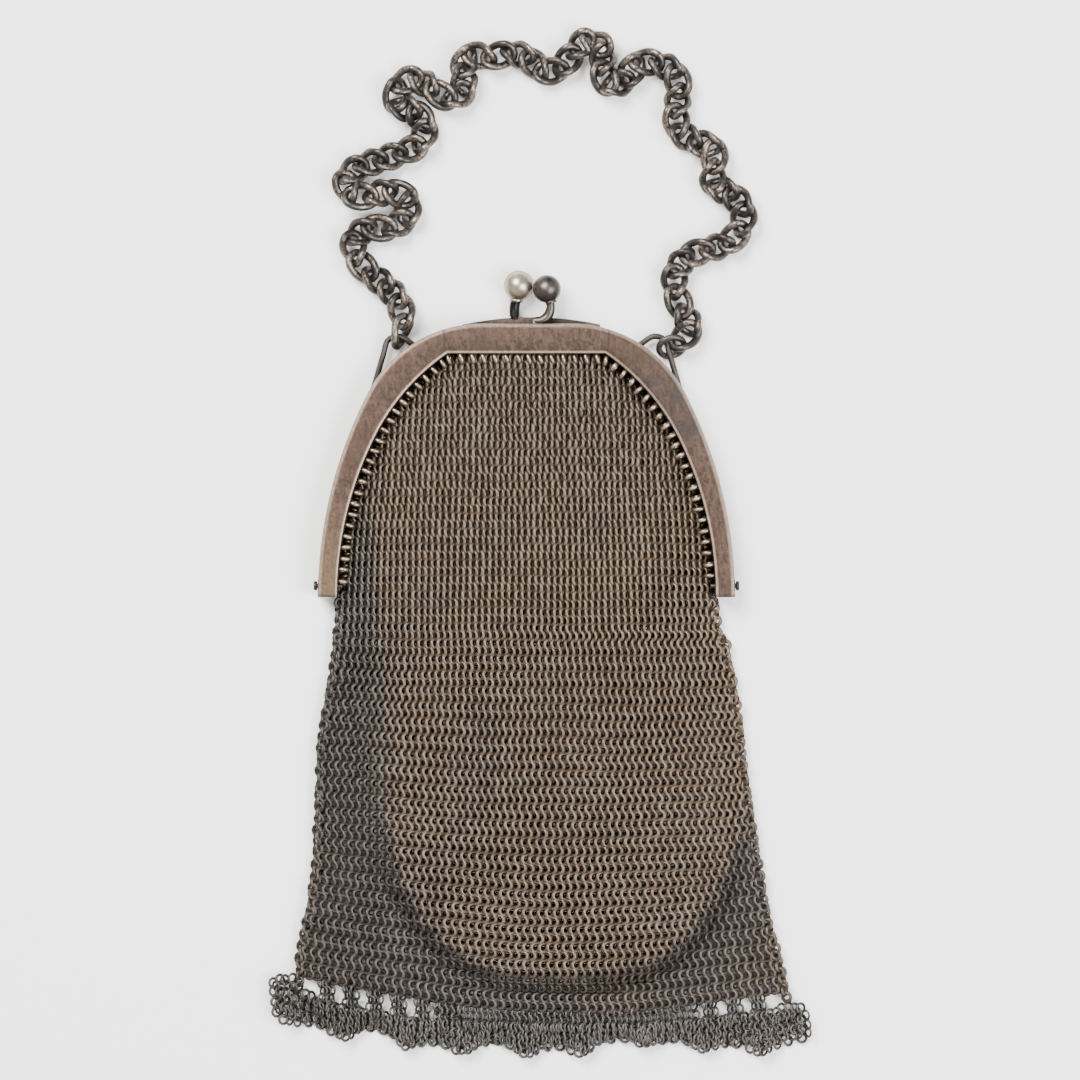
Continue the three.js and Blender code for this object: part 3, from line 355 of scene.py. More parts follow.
def wire_through(points, radius, steps, thinner=None):
    """A bent wire with round ends; thinner gives its thickness as a share along it."""
    line = bpy.data.curves.new("wire", "CURVE")
    line.dimensions = "3D"
    line.bevel_depth = radius
    line.bevel_resolution = 4
    line.use_fill_caps = True
    spots = curve_between([Vector(p) for p in points], steps)
    spline = line.splines.new("POLY")
    spline.points.add(len(spots) - 1)
    for k, (point, spot) in enumerate(zip(spline.points, spots)):
        point.co = (*spot, 1.0)
        point.radius = thinner(k / steps) if thinner else 1.0
    made = bpy.data.objects.new("wire", line)
    bpy.context.scene.collection.objects.link(made)
    pick(made)
    bpy.ops.object.convert(target="MESH")
    return bpy.context.object


def block(low, high, bevel=0.12):
    clear_selection()
    middle = [(a + b) / 2 for a, b in zip(low, high)]
    bpy.ops.mesh.primitive_cube_add(size=1, location=middle)
    made = bpy.context.object
    made.scale = [abs(b - a) for a, b in zip(low, high)]
    bpy.ops.object.transform_apply(location=True, rotation=True, scale=True)
    apply_modifier(made, "BEVEL", width=bevel, segments=2)
    return made


def round_bar(start, end, radius, bevel=0.15):
    start, end = Vector(start), Vector(end)
    clear_selection()
    bpy.ops.mesh.primitive_cylinder_add(
        vertices=28, radius=radius, depth=(end - start).length, location=(start + end) / 2,
        rotation=(end - start).to_track_quat("Z", "Y").to_euler())
    made = bpy.context.object
    bpy.ops.object.transform_apply(location=True, rotation=True, scale=True)
    apply_modifier(made, "BEVEL", width=bevel, segments=2, limit_method="ANGLE")
    return made


# ------------------------------------------------------------------ camera, floor and light

# The photo is 1080 pixels wide at 4 pixels to the millimetre; its middle is this point
view_x, view_y, view_width, view_height = 3.375, 14.25, 270.0, 1150.0
camera_data = bpy.data.cameras.new("camera")
camera_data.sensor_width = 36
camera_data.lens = 36 * (view_height - 4) / view_width
camera = bpy.data.objects.new("camera", camera_data)
camera.location = ((view_x + shift.x) * MM, (view_y + shift.y) * MM, view_height * MM)
bpy.context.scene.collection.objects.link(camera)
bpy.context.scene.camera = camera

clear_selection()
bpy.ops.mesh.primitive_plane_add(size=6, location=(0, 0, -0.00005))
floor = bpy.context.object
floor.name = "floor"
floor_finish = Finish("pale_floor", **{"Roughness": 0.7, "Specular IOR Level": 0.2})
floor_finish.feed("Base Color", floor_finish.color(
    (0.95, 0.945, 0.94), (0.98, 0.975, 0.97), floor_finish.noise(0.01, 2)))
floor.data.materials.append(floor_finish.material)

world = bpy.data.worlds.new("studio")
bpy.context.scene.world = world
world.use_nodes = True
world.node_tree.nodes["Background"].inputs[0].default_value = (1.0, 0.99, 0.98, 1)
world.node_tree.nodes["Background"].inputs[1].default_value = 1.15


def soft_light(name, place, size, watts, color=(1, 1, 1)):
    data = bpy.data.lights.new(name, "AREA")
    data.shape = "DISK"
    data.size = size
    data.energy = watts
    data.color = color
    made = bpy.data.objects.new(name, data)
    made.location = place
    made.rotation_euler = (-Vector(place)).to_track_quat("-Z", "Y").to_euler()
    bpy.context.scene.collection.objects.link(made)


soft_light("key", (-0.5, 0.65, 1.15), 0.8, 44, (1, 0.99, 0.975))
soft_light("fill", (0.7, -0.25, 1.0), 0.8, 24, (0.985, 0.99, 1))


# ------------------------------------------------------------------ finishes

def tarnished_frame():
    finish = Finish("tarnished_frame", Metallic=0.75)
    x, y, z = finish.places()
    wear = finish.attribute("wear")
    blotch = finish.noise(0.06, 4, 0.6)
    grain = finish.noise(1.05, 4, 0.7)
    hatch = finish.noise(1.0, 3, 0.6, (1.0, 0.35, 1.0), math.radians(38))
    mottle = (grain.between(0.4, 0.6) * 0.5 + hatch.between(0.42, 0.58) * 0.5).held()
    base = finish.color((0.034, 0.0195, 0.0135), (0.076, 0.047, 0.034), mottle)
    base = finish.color(base, (0.047, 0.0275, 0.0195), blotch.between(0.5, 0.64) * 0.5)
    shoulder = (x - 39.0).size().between(18.0, 10.0) * (y - 49.0).size().between(15.0, 6.0)
    spots = finish.noise(0.22, 4, 0.7).between(0.42, 0.62)
    base = finish.color(base, (0.03, 0.024, 0.022), (shoulder * (0.2 + spots * 0.6)).held())
    golden = (x + 46.0).size().between(12.0, 4.0) * y.between(30.0, 2.0)
    base = finish.color(base, (0.15, 0.1, 0.055), golden * (0.25 + grain * 0.35))
    # rubbed wear plus painted highlight: the outer bevel, the bead and the crest's top edge are
    # painted light, as they would catch the lamp
    base = finish.color(base, (0.42, 0.32, 0.25), (wear * (0.35 + grain * 0.8)).held())
    crest_shade = y.between(68.15, 68.6) * (0.92 - (x + 3.0).size().between(9.0, 2.0) * 0.4)
    bend_line = (x.size() - 20.4 - (y - 63.0) * 0.06).size().between(0.45, 0.1) \
        * y.between(61.0, 61.6) * y.between(68.2, 67.6)
    foot_line = y.between(0.9, 0.35)
    base = finish.color(base, (0.022, 0.016, 0.014),
                        (crest_shade + bend_line * 0.5 + foot_line * 0.6).held())
    finish.feed("Base Color", base)
    finish.feed("Roughness", 0.45 - wear * 0.1 + grain * 0.14)
    finish.bump(hatch + grain, 0.16, 0.8)
    return finish


def plain_frame_metal():
    finish = Finish("dark_frame_metal", Metallic=0.8)
    blotch = finish.noise(0.35, 4, 0.6)
    speck = finish.noise(1.6, 3, 0.6)
    finish.feed("Base Color", finish.color((0.02, 0.018, 0.017), (0.085, 0.073, 0.066),
                                           (blotch * 1.3 - 0.2).held()))
    finish.feed("Roughness", 0.36 + speck * 0.2)
    finish.bump(speck, 0.04, 0.5)
    return finish


def ball_metal(name, dark, light, rough, stem, neck):
    """A turned ball on a stem; neck is the height in the photo where the stem ends."""
    finish = Finish(name, Metallic=0.95)
    x, y, z = finish.places()
    cloud = finish.noise(0.35, 4, 0.6)
    scratch = finish.noise(1.8, 3, 0.6, (1.0, 0.25, 1.0), math.radians(25))
    ball = finish.color(dark, light, (cloud * 2.4 - 0.7 + (scratch - 0.5) * 0.6).held())
    # painted shade: where the ball turns away from the eye its colour is pulled towards the stem
    # colour, giving a dark rim
    ball = finish.color(ball, stem, finish.outline().between(0.35, 0.95) * 0.8)
    finish.feed("Base Color", finish.color(stem, ball, y.between(neck - 0.4, neck + 0.4)))
    finish.feed("Roughness", rough + cloud * 0.1 + scratch * 0.08)
    finish.bump(scratch + cloud, 0.03, 0.4)
    return finish


def chain_metal():
    finish = Finish("oxidised_chain", Metallic=0.9)
    wear = finish.attribute("wear")
    cloud = finish.noise(0.2, 3, 0.6)
    speck = finish.noise(1.5, 3, 0.6)
    base = finish.color((0.024, 0.0215, 0.0195), (0.088, 0.078, 0.07),
                        (cloud * 1.3 - 0.2).held())
    rubbed = finish.noise(0.16, 3, 0.6).between(0.42, 0.6) * speck.between(0.36, 0.6)
    # rubbed wear plus painted highlight: the mask is the links' up-facing side, where light falls
    base = finish.color(base, (0.27, 0.215, 0.175), (wear * rubbed).held() * 0.9)
    finish.feed("Base Color", base)
    finish.feed("Roughness", 0.36 + speck * 0.16 - wear * 0.06)
    finish.bump(speck, 0.06, 0.7)
    return finish


def mail_metal(name, gray, brown, worn, soot):
    finish = Finish(name, Metallic=0.6)
    x, y, z = finish.places()
    tone = finish.attribute("tone")
    cloud = finish.noise(0.045, 3, 0.6)
    patch = finish.noise(0.02, 2, 0.5)
    below = (y + belly_level).least(0.0).size() / belly_reach
    across = (x - belly_middle).size() / belly_half_width
    reach = (across ** belly_power + below ** belly_power) ** (1 / belly_power)
    inside = reach.between(1.03, 0.9)
    shadow_line = reach.between(0.93, 0.98) * reach.between(1.06, 1.0) * y.between(-45.0, -75.0)
    left_patch = (x + 42.0 - y * 0.02).between(15.0, 2.0) * y.between(0.0, -22.0)
    top = y.between(5.0, 55.0)
    belly = inside * (cloud * 0.8 + patch * 0.9).between(0.3, 0.85)
    warm = (belly * (1.0 - top * 0.35) * (1.0 - left_patch * 0.8)
            + (1.0 - inside) * patch.between(0.42, 0.62) * 0.4).held()
    base = finish.color(gray, brown, warm)
    shine = (1.0 - reach.between(0.95, 1.03) * 0.5)
    base = finish.color(base, worn, ((tone - 0.55).held() * 1.1 + 0.08) * shine)
    base = finish.color(base, soot, ((0.3 - tone).held() * 0.9 + left_patch * 0.3
                                     + shadow_line * 0.45).held())
    # painted shade with tarnish: the low side of each ring, under its neighbours, is painted
    # towards soot and made rougher
    hidden = finish.attribute("rub").between(0.66, 0.22) * (1.0 - top * 0.4)
    base = finish.color(base, soot, hidden * 0.8)
    finish.feed("Base Color", base)
    finish.feed("Roughness", 0.38 + tone * 0.12 + hidden * 0.4)
    finish.bump(finish.noise(2.2, 2, 0.5), 0.03, 0.5)
    return finish


def lacing_metal():
    finish = Finish("brass_lacing", Metallic=0.95)
    tone = finish.attribute("tone")
    speck = finish.noise(1.2, 3, 0.6)
    x, y, z = finish.places()
    lit = z.between(3.6, 6.2)
    base = finish.color((0.085, 0.056, 0.034), (0.36, 0.295, 0.21),
                        (lit * (tone * 0.6 + speck * 0.5 + 0.1)).held())
    finish.feed("Base Color", base)
    finish.feed("Roughness", 0.3 + speck * 0.12)
    finish.bump(speck, 0.03, 0.4)
    return finish


frame_face = tarnished_frame()
frame_plain = plain_frame_metal()
light_ball = ball_metal("light_ball_silver", (0.26, 0.215, 0.16), (0.56, 0.49, 0.39), 0.24,
                        (0.014, 0.013, 0.012), 74.0)
dark_ball = ball_metal("dark_ball_silver", (0.026, 0.0225, 0.02), (0.105, 0.093, 0.083), 0.26,
                       (0.075, 0.066, 0.057), 73.2)
chain_finish = chain_metal()
mail_finish = mail_metal("ring_mail", (0.052, 0.046, 0.04), (0.108, 0.073, 0.047),
                         (0.17, 0.137, 0.104), (0.02, 0.0165, 0.0135))
# painted shade: the face on the table is the same mail painted much darker, as it lies in the bag's
# shadow
back_mail_finish = mail_metal("shaded_ring_mail", (0.02, 0.017, 0.014), (0.03, 0.021, 0.015),
                              (0.05, 0.04, 0.03), (0.01, 0.009, 0.008))
frill_finish = mail_metal("frill_mail", (0.056, 0.051, 0.046), (0.06, 0.052, 0.043),
                          (0.17, 0.152, 0.135), (0.012, 0.011, 0.01))
lacing_finish = lacing_metal()


# ------------------------------------------------------------------ arch of the frame

class HalfArch:
    """Flat, shoulder arc and side arc from the top middle down to the foot."""

    def __init__(self, half_foot, height, start, turned, shoulder):
        self.start, self.turned, self.shoulder = math.radians(start), math.radians(turned), shoulder
        self.height = height
        fall = shoulder * (math.cos(self.start) - math.cos(self.turned))
        run = shoulder * (math.sin(self.turned) - math.sin(self.start))
        self.side = (height - fall) / math.cos(self.turned)
        self.flat = half_foot - run - self.side * (1 - math.sin(self.turned))
        self.fall, self.run = fall, run

    def at(self, heading):
        if heading <= self.turned:
            return Vector((
                self.flat + self.shoulder * (math.sin(heading) - math.sin(self.start)),
                self.height - self.shoulder * (math.cos(self.start) - math.cos(heading))))
        return Vector((
            self.flat + self.run + self.side * (math.sin(heading) - math.sin(self.turned)),
            self.height - self.fall - self.side * (math.cos(self.turned) - math.cos(heading))))


outer_arch = HalfArch(half_width, frame_height, 0, 62.5, 32)
inner_arch = HalfArch(half_width - foot_band, frame_height - crown_band, 34.6, 63.7, 55.6)


def meet_outer(point, direction):
    near, far = 0.0, 3 * crown_band
    for _ in range(40):
        middle = (near + far) / 2
        probe = point + direction * middle
        if probe.x <= outer_arch.flat:
            out = probe.y - frame_height
        else:
            from_center = probe - Vector((outer_arch.flat, frame_height - outer_arch.shoulder))
            if math.atan2(from_center.x, from_center.y) <= outer_arch.turned:
                out = from_center.length - outer_arch.shoulder
            else:
                out = (probe - Vector((half_width - outer_arch.side, 0))).length - outer_arch.side
        if out > 0:
            far = middle
        else:
            near = middle
    return point + direction * near


def arch_stations():
    """Inner and outer edge points round the whole arch, from the left foot to the right one."""
    right = []
    for k in range(1, 13):
        inner = Vector((inner_arch.flat * k / 12 * 0.96, inner_arch.height))
        right.append((inner, meet_outer(inner, Vector((0, 1)))))
    corner = Vector((inner_arch.flat, inner_arch.height))
    half_turn = inner_arch.start / 2
    right.append((corner, meet_outer(corner, Vector((math.sin(half_turn), math.cos(half_turn))))))
    for low, high in ((inner_arch.start, inner_arch.turned), (inner_arch.turned, math.pi / 2)):
        for k in range(1, 25):
            heading = mix(low, high, k / 24)
            inner = inner_arch.at(heading)
            outward_way = Vector((math.sin(heading), math.cos(heading)))
            right.append((inner, meet_outer(inner, outward_way)))
    left = [(Vector((-i.x, i.y)), Vector((-o.x, o.y))) for i, o in reversed(right)]
    return left + right


def channel_outline(band):
    """Section of the channel: distance in from the outer edge, height, and wear with a painted
    highlight on the outer bevel and the bead.
    """
    top = half_depth
    return [
        (0.0, 0.0, 0.2), (0.0, top - 0.85, 0.5), (0.12, top - 0.62, 0.9), (0.45, top - 0.42, 0.8),
        (0.8, top - 0.25, 0.4), (1.1, top - 0.1, 0.0), (1.5, top - 0.05, 0.0),
        (band * 0.5, top - 0.02, 0.0), (band - 1.1, top - 0.12, 0.0),
        (band - 0.75, top - 0.22, 0.0), (band - 0.55, top - 0.12, 0.5), (band - 0.35, top, 0.95),
        (band - 0.16, top - 0.05, 1.0), (band - 0.03, top - 0.2, 0.7), (band, top - 0.5, 0.2),
        (band, top - 3.2, 0.1), (band - sheet, top - 3.2, 0.0),
        (band - sheet, top - 0.25 - sheet, 0.0), (sheet, top - 0.25 - sheet, 0.0),
        (sheet, 0.0, 0.0),
    ]


def channel(side):
    points, wear = [], []
    stations = arch_stations()
    for inner, outer in stations:
        band = (outer - inner).length
        inward = (inner - outer) / band
        # the third column is rubbed wear plus a painted highlight on the outer bevel and the bead
        for across, height, worn in channel_outline(band):
            spot = outer + inward * across
            points.append((spot.x, spot.y, parting + side * (fit_gap / 2 + height)))
            wear.append(worn)
    quads = tube_quads(len(stations), len(points) // len(stations))
    return closed(mesh_object("channel", np.array(points), quads, wear=wear))


def foot_and_lug(side, hand, lug_far):
    base = parting + side * fit_gap / 2
    roof = parting + side * (fit_gap / 2 + half_depth - 0.6)
    plate = block((hand * (half_width - foot_band), 0.0, base), (hand * half_width, sheet, roof))
    tab = block((hand * (lug_far - sheet), hinge_rise - 1.6, parting),
                (hand * lug_far, hinge_rise + 1.6, roof))
    knuckle = round_bar((hand * (lug_far - sheet), hinge_rise, parting),
                        (hand * lug_far, hinge_rise, parting), 1.6)
    return [plate, tab, knuckle]


front_parts = []
back_parts = []
for hand in (-1, 1):
    front_parts += foot_and_lug(1, hand, half_width)
    back_parts += foot_and_lug(-1, hand, half_width - sheet - 2 * fit_gap)


def crest_top(x):
    return frame_height + 1.8 * (1 - ((x - 1.25) / 17.15) ** 2)


def crest():
    """Low lens-shaped plate that stands over the top edge of the back half."""
    steps, low, high, root, bevel = 40, 0.6, 3.2, frame_height - 0.5, 0.25
    points = []
    for k in range(steps + 1):
        x = mix(-15.9, 18.4, k / steps)
        rim = crest_top(x)
        points += [(x, root, low), (x, rim - bevel, low), (x, rim, low + bevel),
                   (x, rim, high - bevel), (x, rim - bevel, high), (x, root, high)]
    # the crest's top edge carries a little wear and a painted highlight
    return closed(mesh_object("crest", np.array(points), tube_quads(steps + 1, 6),
                              wear=[0.0, 0.0, 0.4, 0.4, 0.3, 0.0] * (steps + 1)))


def handle_loop_points(hand):
    low_turn, high_turn = math.radians(59), math.radians(32.5)
    low_foot, high_foot = outer_arch.at(low_turn), outer_arch.at(high_turn)
    middle = (low_turn + high_turn) / 2
    out = Vector((math.sin(middle), math.cos(middle)))
    bends = [
        (low_foot - out * sheet / 2, 2.2), (low_foot + Vector((-2.7, 7.8)), 3.1),
        (low_foot + Vector((-4.0, 11.6)), 3.1), (high_foot + Vector((3.5, 2.0)), 3.1),
        (high_foot - out * sheet / 2, 2.2),
    ]
    return [Vector((hand * spot.x, spot.y, level)) for spot, level in bends]


for side, parts, half_name in ((1, front_parts, "front"), (-1, back_parts, "back")):
    half = joined(smoothed(channel(side), 40), *[in_place(part) for part in parts])
    finished(smoothed(half, 40), half_name + "_half", frame_face, "frame_metal",
             "frame_" + half_name)
finished(smoothed(crest(), 40), "crest", frame_face, "frame_metal", "frame_back")
for hand, side_name in ((-1, "left"), (1, "right")):
    handle_loop = in_place(wire_through(handle_loop_points(hand), 0.75, 48))
    finished(smoothed(handle_loop), "handle_loop_" + side_name, frame_plain, "frame_metal",
             "frame_back")
    shank = round_bar((hand * 46.0, hinge_rise, parting),
                      (hand * (half_width + 0.7), hinge_rise, parting), 0.6, 0.05)
    head = round_bar((hand * (half_width + fit_gap), hinge_rise, parting),
                     (hand * (half_width + fit_gap + 0.9), hinge_rise, parting), 1.2, 0.3)
    pin = joined(in_place(head), in_place(shank))
    finished(smoothed(pin), "pin_" + side_name, frame_plain, "frame_metal",
             "hinge_pin_" + side_name)


# ------------------------------------------------------------------ clasp knobs

def knob(center, radius, stem, stem_radius, squash, root):
    clear_selection()
    bpy.ops.mesh.primitive_uv_sphere_add(segments=56, ring_count=28, radius=radius,
                                         location=center)
    ball = bpy.context.object
    seat, end = Vector(stem[-1]), Vector(center)
    out = (seat - end).normalized()
    collar = round_bar(end + out * (radius - 0.5), end + out * (radius + 0.35),
                       stem_radius * 1.25, 0.2)
    stalk = wire_through(stem, stem_radius, 40, squash)
    foot = Vector(stem[0])
    tang = round_bar((foot.x, root, foot.z), (foot.x, foot.y + 0.2, foot.z),
                     stem_radius * 0.8, 0.05)
    rivet = round_bar((foot.x, frame_height - 1.8, foot.z), (foot.x, frame_height - 1.2, foot.z),
                      1.1, 0.15)
    return smoothed(joined(*[in_place(part) for part in (ball, collar, stalk, tang, rivet)]))


back_radius, back_foot = 3.75, -3.0
back_ball = Vector((-1.9, 77.9, back_radius))
back_level = parting - fit_gap / 2 - 1.45
back_seat = crest_top(back_foot) + fit_gap
back_knob = knob(back_ball, back_radius, [
    (back_foot, back_seat, back_level),
    (back_foot, mix(back_seat, back_ball.y, 0.3), back_level),
    (mix(back_foot, back_ball.x, 0.7), mix(back_seat, back_ball.y, 0.75),
     mix(back_level, back_ball.z, 0.7)),
], 1.3, lambda share: 1.0, crest_top(back_foot) - 0.4)
finished(back_knob, "light_knob", light_ball, "ball_metal", "clasp_knob_back")

# The front ball leans on the back one, 7 mm beside it and 1 mm lower in the photo
front_radius = 3.5
front_climb = math.sqrt((back_radius + front_radius + fit_gap) ** 2 - 7.0 ** 2 - 1.0)
front_ball = Vector((5.1, 76.9, back_radius + front_climb))
front_level = parting + fit_gap / 2 + 1.45
front_seat = frame_height + fit_gap
front_knob = knob(front_ball, front_radius, [
    (2.0, front_seat + 0.5, front_level), (3.7, front_seat + 0.55, front_level),
    (5.2, front_seat + 1.5, front_level),
    (6.0, mix(front_seat, front_ball.y, 0.4), mix(front_level, front_ball.z, 0.5)),
    (6.0, mix(front_seat, front_ball.y, 0.66), front_ball.z),
], 1.15, lambda share: 0.82 + 0.25 * math.sin(math.pi * share), frame_height - 1.6)
finished(front_knob, "dark_knob", dark_ball, "dark_ball_metal", "clasp_knob_front")


# ------------------------------------------------------------------ chain

link_wire, link_length, link_width = 2.1, 10.0, 7.5
link_pitch = 5.15
chain_lay = 3.0
strand_width, strand_height, strand_slope = 7.0, 3.6, 0.5
bend_limit = math.radians(92)

# Route of the chain, listed as in the part's source: x, y and the layer it lies on
chain_route = [
    (-30.6, 70.9, 1.1), (-32.8, 75.8, 0), (-37.6, 79.6, 0), (-42.1, 83.6, 0),
    (-44.0, 88.9, 0), (-40.4, 92.6, 0), (-34.6, 91.9, 0), (-29.6, 95.0, 0),
    (-29.8, 100.6, 1), (-35.2, 101.6, 2), (-41.0, 99.4, 2), (-45.8, 101.6, 1),
    (-44.6, 107.0, 0), (-38.8, 108.4, 0), (-33.4, 110.6, 0), (-27.8, 112.0, 0),
    (-24.8, 116.4, 0), (-26.6, 121.4, 1), (-31.8, 121.4, 1), (-33.2, 126.4, 0),
    (-29.4, 130.6, 0), (-24.6, 128.0, 1), (-20.6, 124.2, 1), (-15.4, 125.4, 0),
    (-15.4, 130.6, 1), (-20.4, 133.2, 1), (-17.4, 137.6, 0), (-11.8, 136.2, 0),
    (-9.4, 130.8, 0), (-5.4, 134.6, 1), (-2.6, 139.4, 0), (1.4, 136.0, 0),
    (1.4, 130.6, 0), (7.0, 131.0, 0), (11.4, 134.6, 0), (14.2, 139.6, 0),
    (19.6, 139.8, 0), (19.8, 134.2, 1), (18.2, 128.8, 1), (22.8, 126.0, 0),
    (26.0, 130.6, 0), (28.4, 135.6, 0), (33.6, 133.0, 0), (38.9, 130.6, 0),
    (38.0, 124.8, 0), (36.9, 118.8, 0), (40.0, 113.8, 0), (45.6, 114.2, 0),
    (48.8, 109.8, 1), (44.8, 106.0, 1), (47.4, 101.4, 0), (53.0, 101.2, 0),
    (54.6, 95.6, 0), (52.8, 89.8, 0), (47.2, 87.4, 0), (41.2, 86.0, 0),
    (37.0, 81.8, 0), (37.0, 76.4, 0), (39.2, 71.4, 0.3),
]


def point_at(points, share):
    spots = curve_between(points, 400)
    lengths = [0.0]
    for a, b in zip(spots, spots[1:]):
        lengths.append(lengths[-1] + (b - a).length)
    goal = lengths[-1] * share
    k = next(i for i, far in enumerate(lengths) if far >= goal)
    return spots[k - 1].lerp(spots[k], (goal - lengths[k - 1]) / (lengths[k] - lengths[k - 1]))


def march(samples, step):
    """Points along the samples, each one step from the last."""
    joints, behind = [samples[0]], samples[0]
    for sample in samples[1:]:
        far = (sample - joints[-1]).length
        if far >= step:
            near = (behind - joints[-1]).length
            joints.append(behind.lerp(sample, (step - near) / (far - near)))
        behind = sample
    return joints


def equal_steps(points):
    """A smooth line through the points, cut into whole steps close to one link's pitch."""
    samples = curve_between(points, len(points) * 40)
    count = len(march(samples, link_pitch)) - 1
    short, long = link_pitch * 0.9, link_pitch * 1.1
    for _ in range(24):
        step = (short + long) / 2
        if len(march(samples, step)) - 1 >= count:
            short = step
        else:
            long = step
    return march(samples, short)[:count] + [samples[-1]]


def ease_bends(joints):
    """Opens the bends that are too tight for the links."""
    for _ in range(8):
        moved = list(joints)
        for k in range(1, len(joints) - 1):
            before, after = joints[k] - joints[k - 1], joints[k + 1] - joints[k]
            if before.angle(after) >= bend_limit:
                moved[k] = joints[k] + (after - before) * 0.1
        joints = equal_steps(moved)
    return joints


def settle_strands(joints):
    """Lifts each strand over the ones that it lies on."""
    spots = [joints[0].copy()]
    for a, b in zip(joints, joints[1:]):
        spots += [a.lerp(b, 0.5), b.copy()]
    reach = strand_slope * link_pitch / 2
    last = len(spots) - 1
    close = [(i, j, math.hypot(spots[i].x - spots[j].x, spots[i].y - spots[j].y))
             for i in range(last + 1) for j in range(i + 4, last + 1)]
    close = [(i, j, strand_height * math.sqrt(1 - (plan / strand_width) ** 2))
             for i, j, plan in close if plan < strand_width]
    for _ in range(60):
        for i, j, clear in close:
            under, over = (spots[j], spots[i]) if spots[i].z > spots[j].z else (spots[i], spots[j])
            over.z = max(over.z, under.z + clear)
        for k in range(1, last):
            spots[k].z = max(spots[k].z, spots[k - 1].z - reach)
            spots[last - k].z = max(spots[last - k].z, spots[last - k + 1].z - reach)
        spots[0].z, spots[last].z = joints[0].z, joints[-1].z
    return spots[::2]


left_hook = point_at(handle_loop_points(-1), 0.77)
right_hook = point_at(handle_loop_points(1), 0.52)
right_leg = point_at(handle_loop_points(1), 0.54) - right_hook
right_leg = Vector((right_leg.x, right_leg.y, 0)).normalized()
right_pull = Vector((right_leg.y, -right_leg.x, 0))
end_ring_outer, end_ring_wire = 7.8, 1.2
end_ring_radius = (end_ring_outer - end_ring_wire) / 2
ring_tilt, ring_turn = math.radians(46), math.radians(20)
ring_center = right_hook + right_pull * 0.9
ring_center.z = max(right_hook.z, end_ring_radius * math.sin(ring_tilt) + 0.66)
ring_across = right_leg * math.cos(ring_tilt)
ring_across.z = math.sin(ring_tilt)
ring_normal = right_pull.cross(ring_across)
end_bar = ring_center + (right_pull * math.cos(ring_turn)
                         + ring_across * math.sin(ring_turn)) * (end_ring_radius - 2.05)
end_link = Matrix.Rotation(math.radians(28.4), 3, "Z") @ right_pull
chain_start = left_hook + (Vector((*chain_route[0][:2], chain_lay + 1.1))
                           - left_hook).normalized() * -1.2
chain_end = end_bar + end_link * 0.55
chain_turn = chain_end + end_link * link_pitch
laid = [Vector((x, y, chain_lay + layer)) for x, y, layer in chain_route]
laid = ease_bends(equal_steps([chain_start, *laid, chain_turn]))
chain_joints = equal_steps(settle_strands(laid)) + [chain_end]


def link_pattern(first_roll, last_roll):
    """A round ring pulled out to a long link, then twisted from its first end to its last."""
    made = wire_ring(link_width, link_wire, 32, 9)
    for vertex in made.data.vertices:
        pulled = (link_length - link_width) / 2
        vertex.co.x += pulled * max(-1.0, min(1.0, vertex.co.x / 1.2))
    apply_modifier(made, "SUBSURF", levels=1, render_levels=1)
    reach = link_length / 2 - link_wire / 2
    rolls = (math.radians(first_roll), math.radians(last_roll))
    for vertex in made.data.vertices:
        along = max(-1.0, min(1.0, vertex.co.x / reach))
        roll = mix(*rolls, (1 + math.sin(along * math.pi / 2)) / 2)
        y, z = vertex.co.y, vertex.co.z
        vertex.co.y = y * math.cos(roll) - z * math.sin(roll)
        vertex.co.z = y * math.sin(roll) + z * math.cos(roll)
    return Pattern(made)


def link_axes(start, end):
    along = (end - start).normalized()
    side = Vector((0, 0, 1)).cross(along).normalized()
    return along, side, along.cross(side)


def roll_along(start, end, direction):
    along, side, up = link_axes(start, end)
    return math.degrees(math.atan(direction.dot(up) / direction.dot(side)))


def link_place(start, end):
    along, side, up = link_axes(start, end)
    return (start + end) / 2, along * ((end - start).length / link_pitch), side, up


def add_wear(made, values):
    made.data.attributes.new("wear", "FLOAT", "POINT").data.foreach_set("value", values)


def chain_links():
    """Links along the route; each one turns a quarter from the last, a little unevenly."""
    pairs = list(zip(chain_joints, chain_joints[1:]))
    rolls = [75] + [chance.choice((-60, -45, -30)) for _ in pairs[1:]]
    ends = [roll + 90 for roll in rolls[1:]] + [roll_along(*pairs[-1], ring_normal)]
    kinds = {}
    for pair, *twist in zip(pairs, rolls, ends):
        kinds.setdefault(tuple(twist), []).append(pair)
    made = [link_pattern(*twist).spread("links", [link_place(a, b) for a, b in few],
                                        [chance.random() for _ in few])
            for twist, few in kinds.items()]
    chain = joined(*made)
    # the up-facing side of each link is kept as its wear mask, which paints a highlight where light
    # falls as well as rubbed wear
    normals = np.zeros(len(chain.data.vertices) * 3)
    chain.data.vertices.foreach_get("normal", normals)
    add_wear(chain, np.clip(normals[2::3] * 1.2 - 0.15, 0, 1))
    return chain


finished(chain_links(), "chain_links", chain_finish, "chain_metal", "handle_chain")
jump_ring = Pattern(wire_ring(8.0, 1.6, 48, 12)).spread(
    "jump_ring", [(ring_center, right_pull, ring_across, ring_normal)], [0.5])
add_wear(jump_ring, [0.5] * len(jump_ring.data.vertices))
finished(jump_ring, "jump_ring", chain_finish, "chain_metal", "chain_ring_right")


# ------------------------------------------------------------------ bag of ring mail

bag_drop = 99.0
left_hem_drop, right_hem_drop, hem_sag = 96.2, 100.2, 7.1
bag_half_mouth = half_width - foot_band - 0.5
spread_left, spread_right = 10, 18
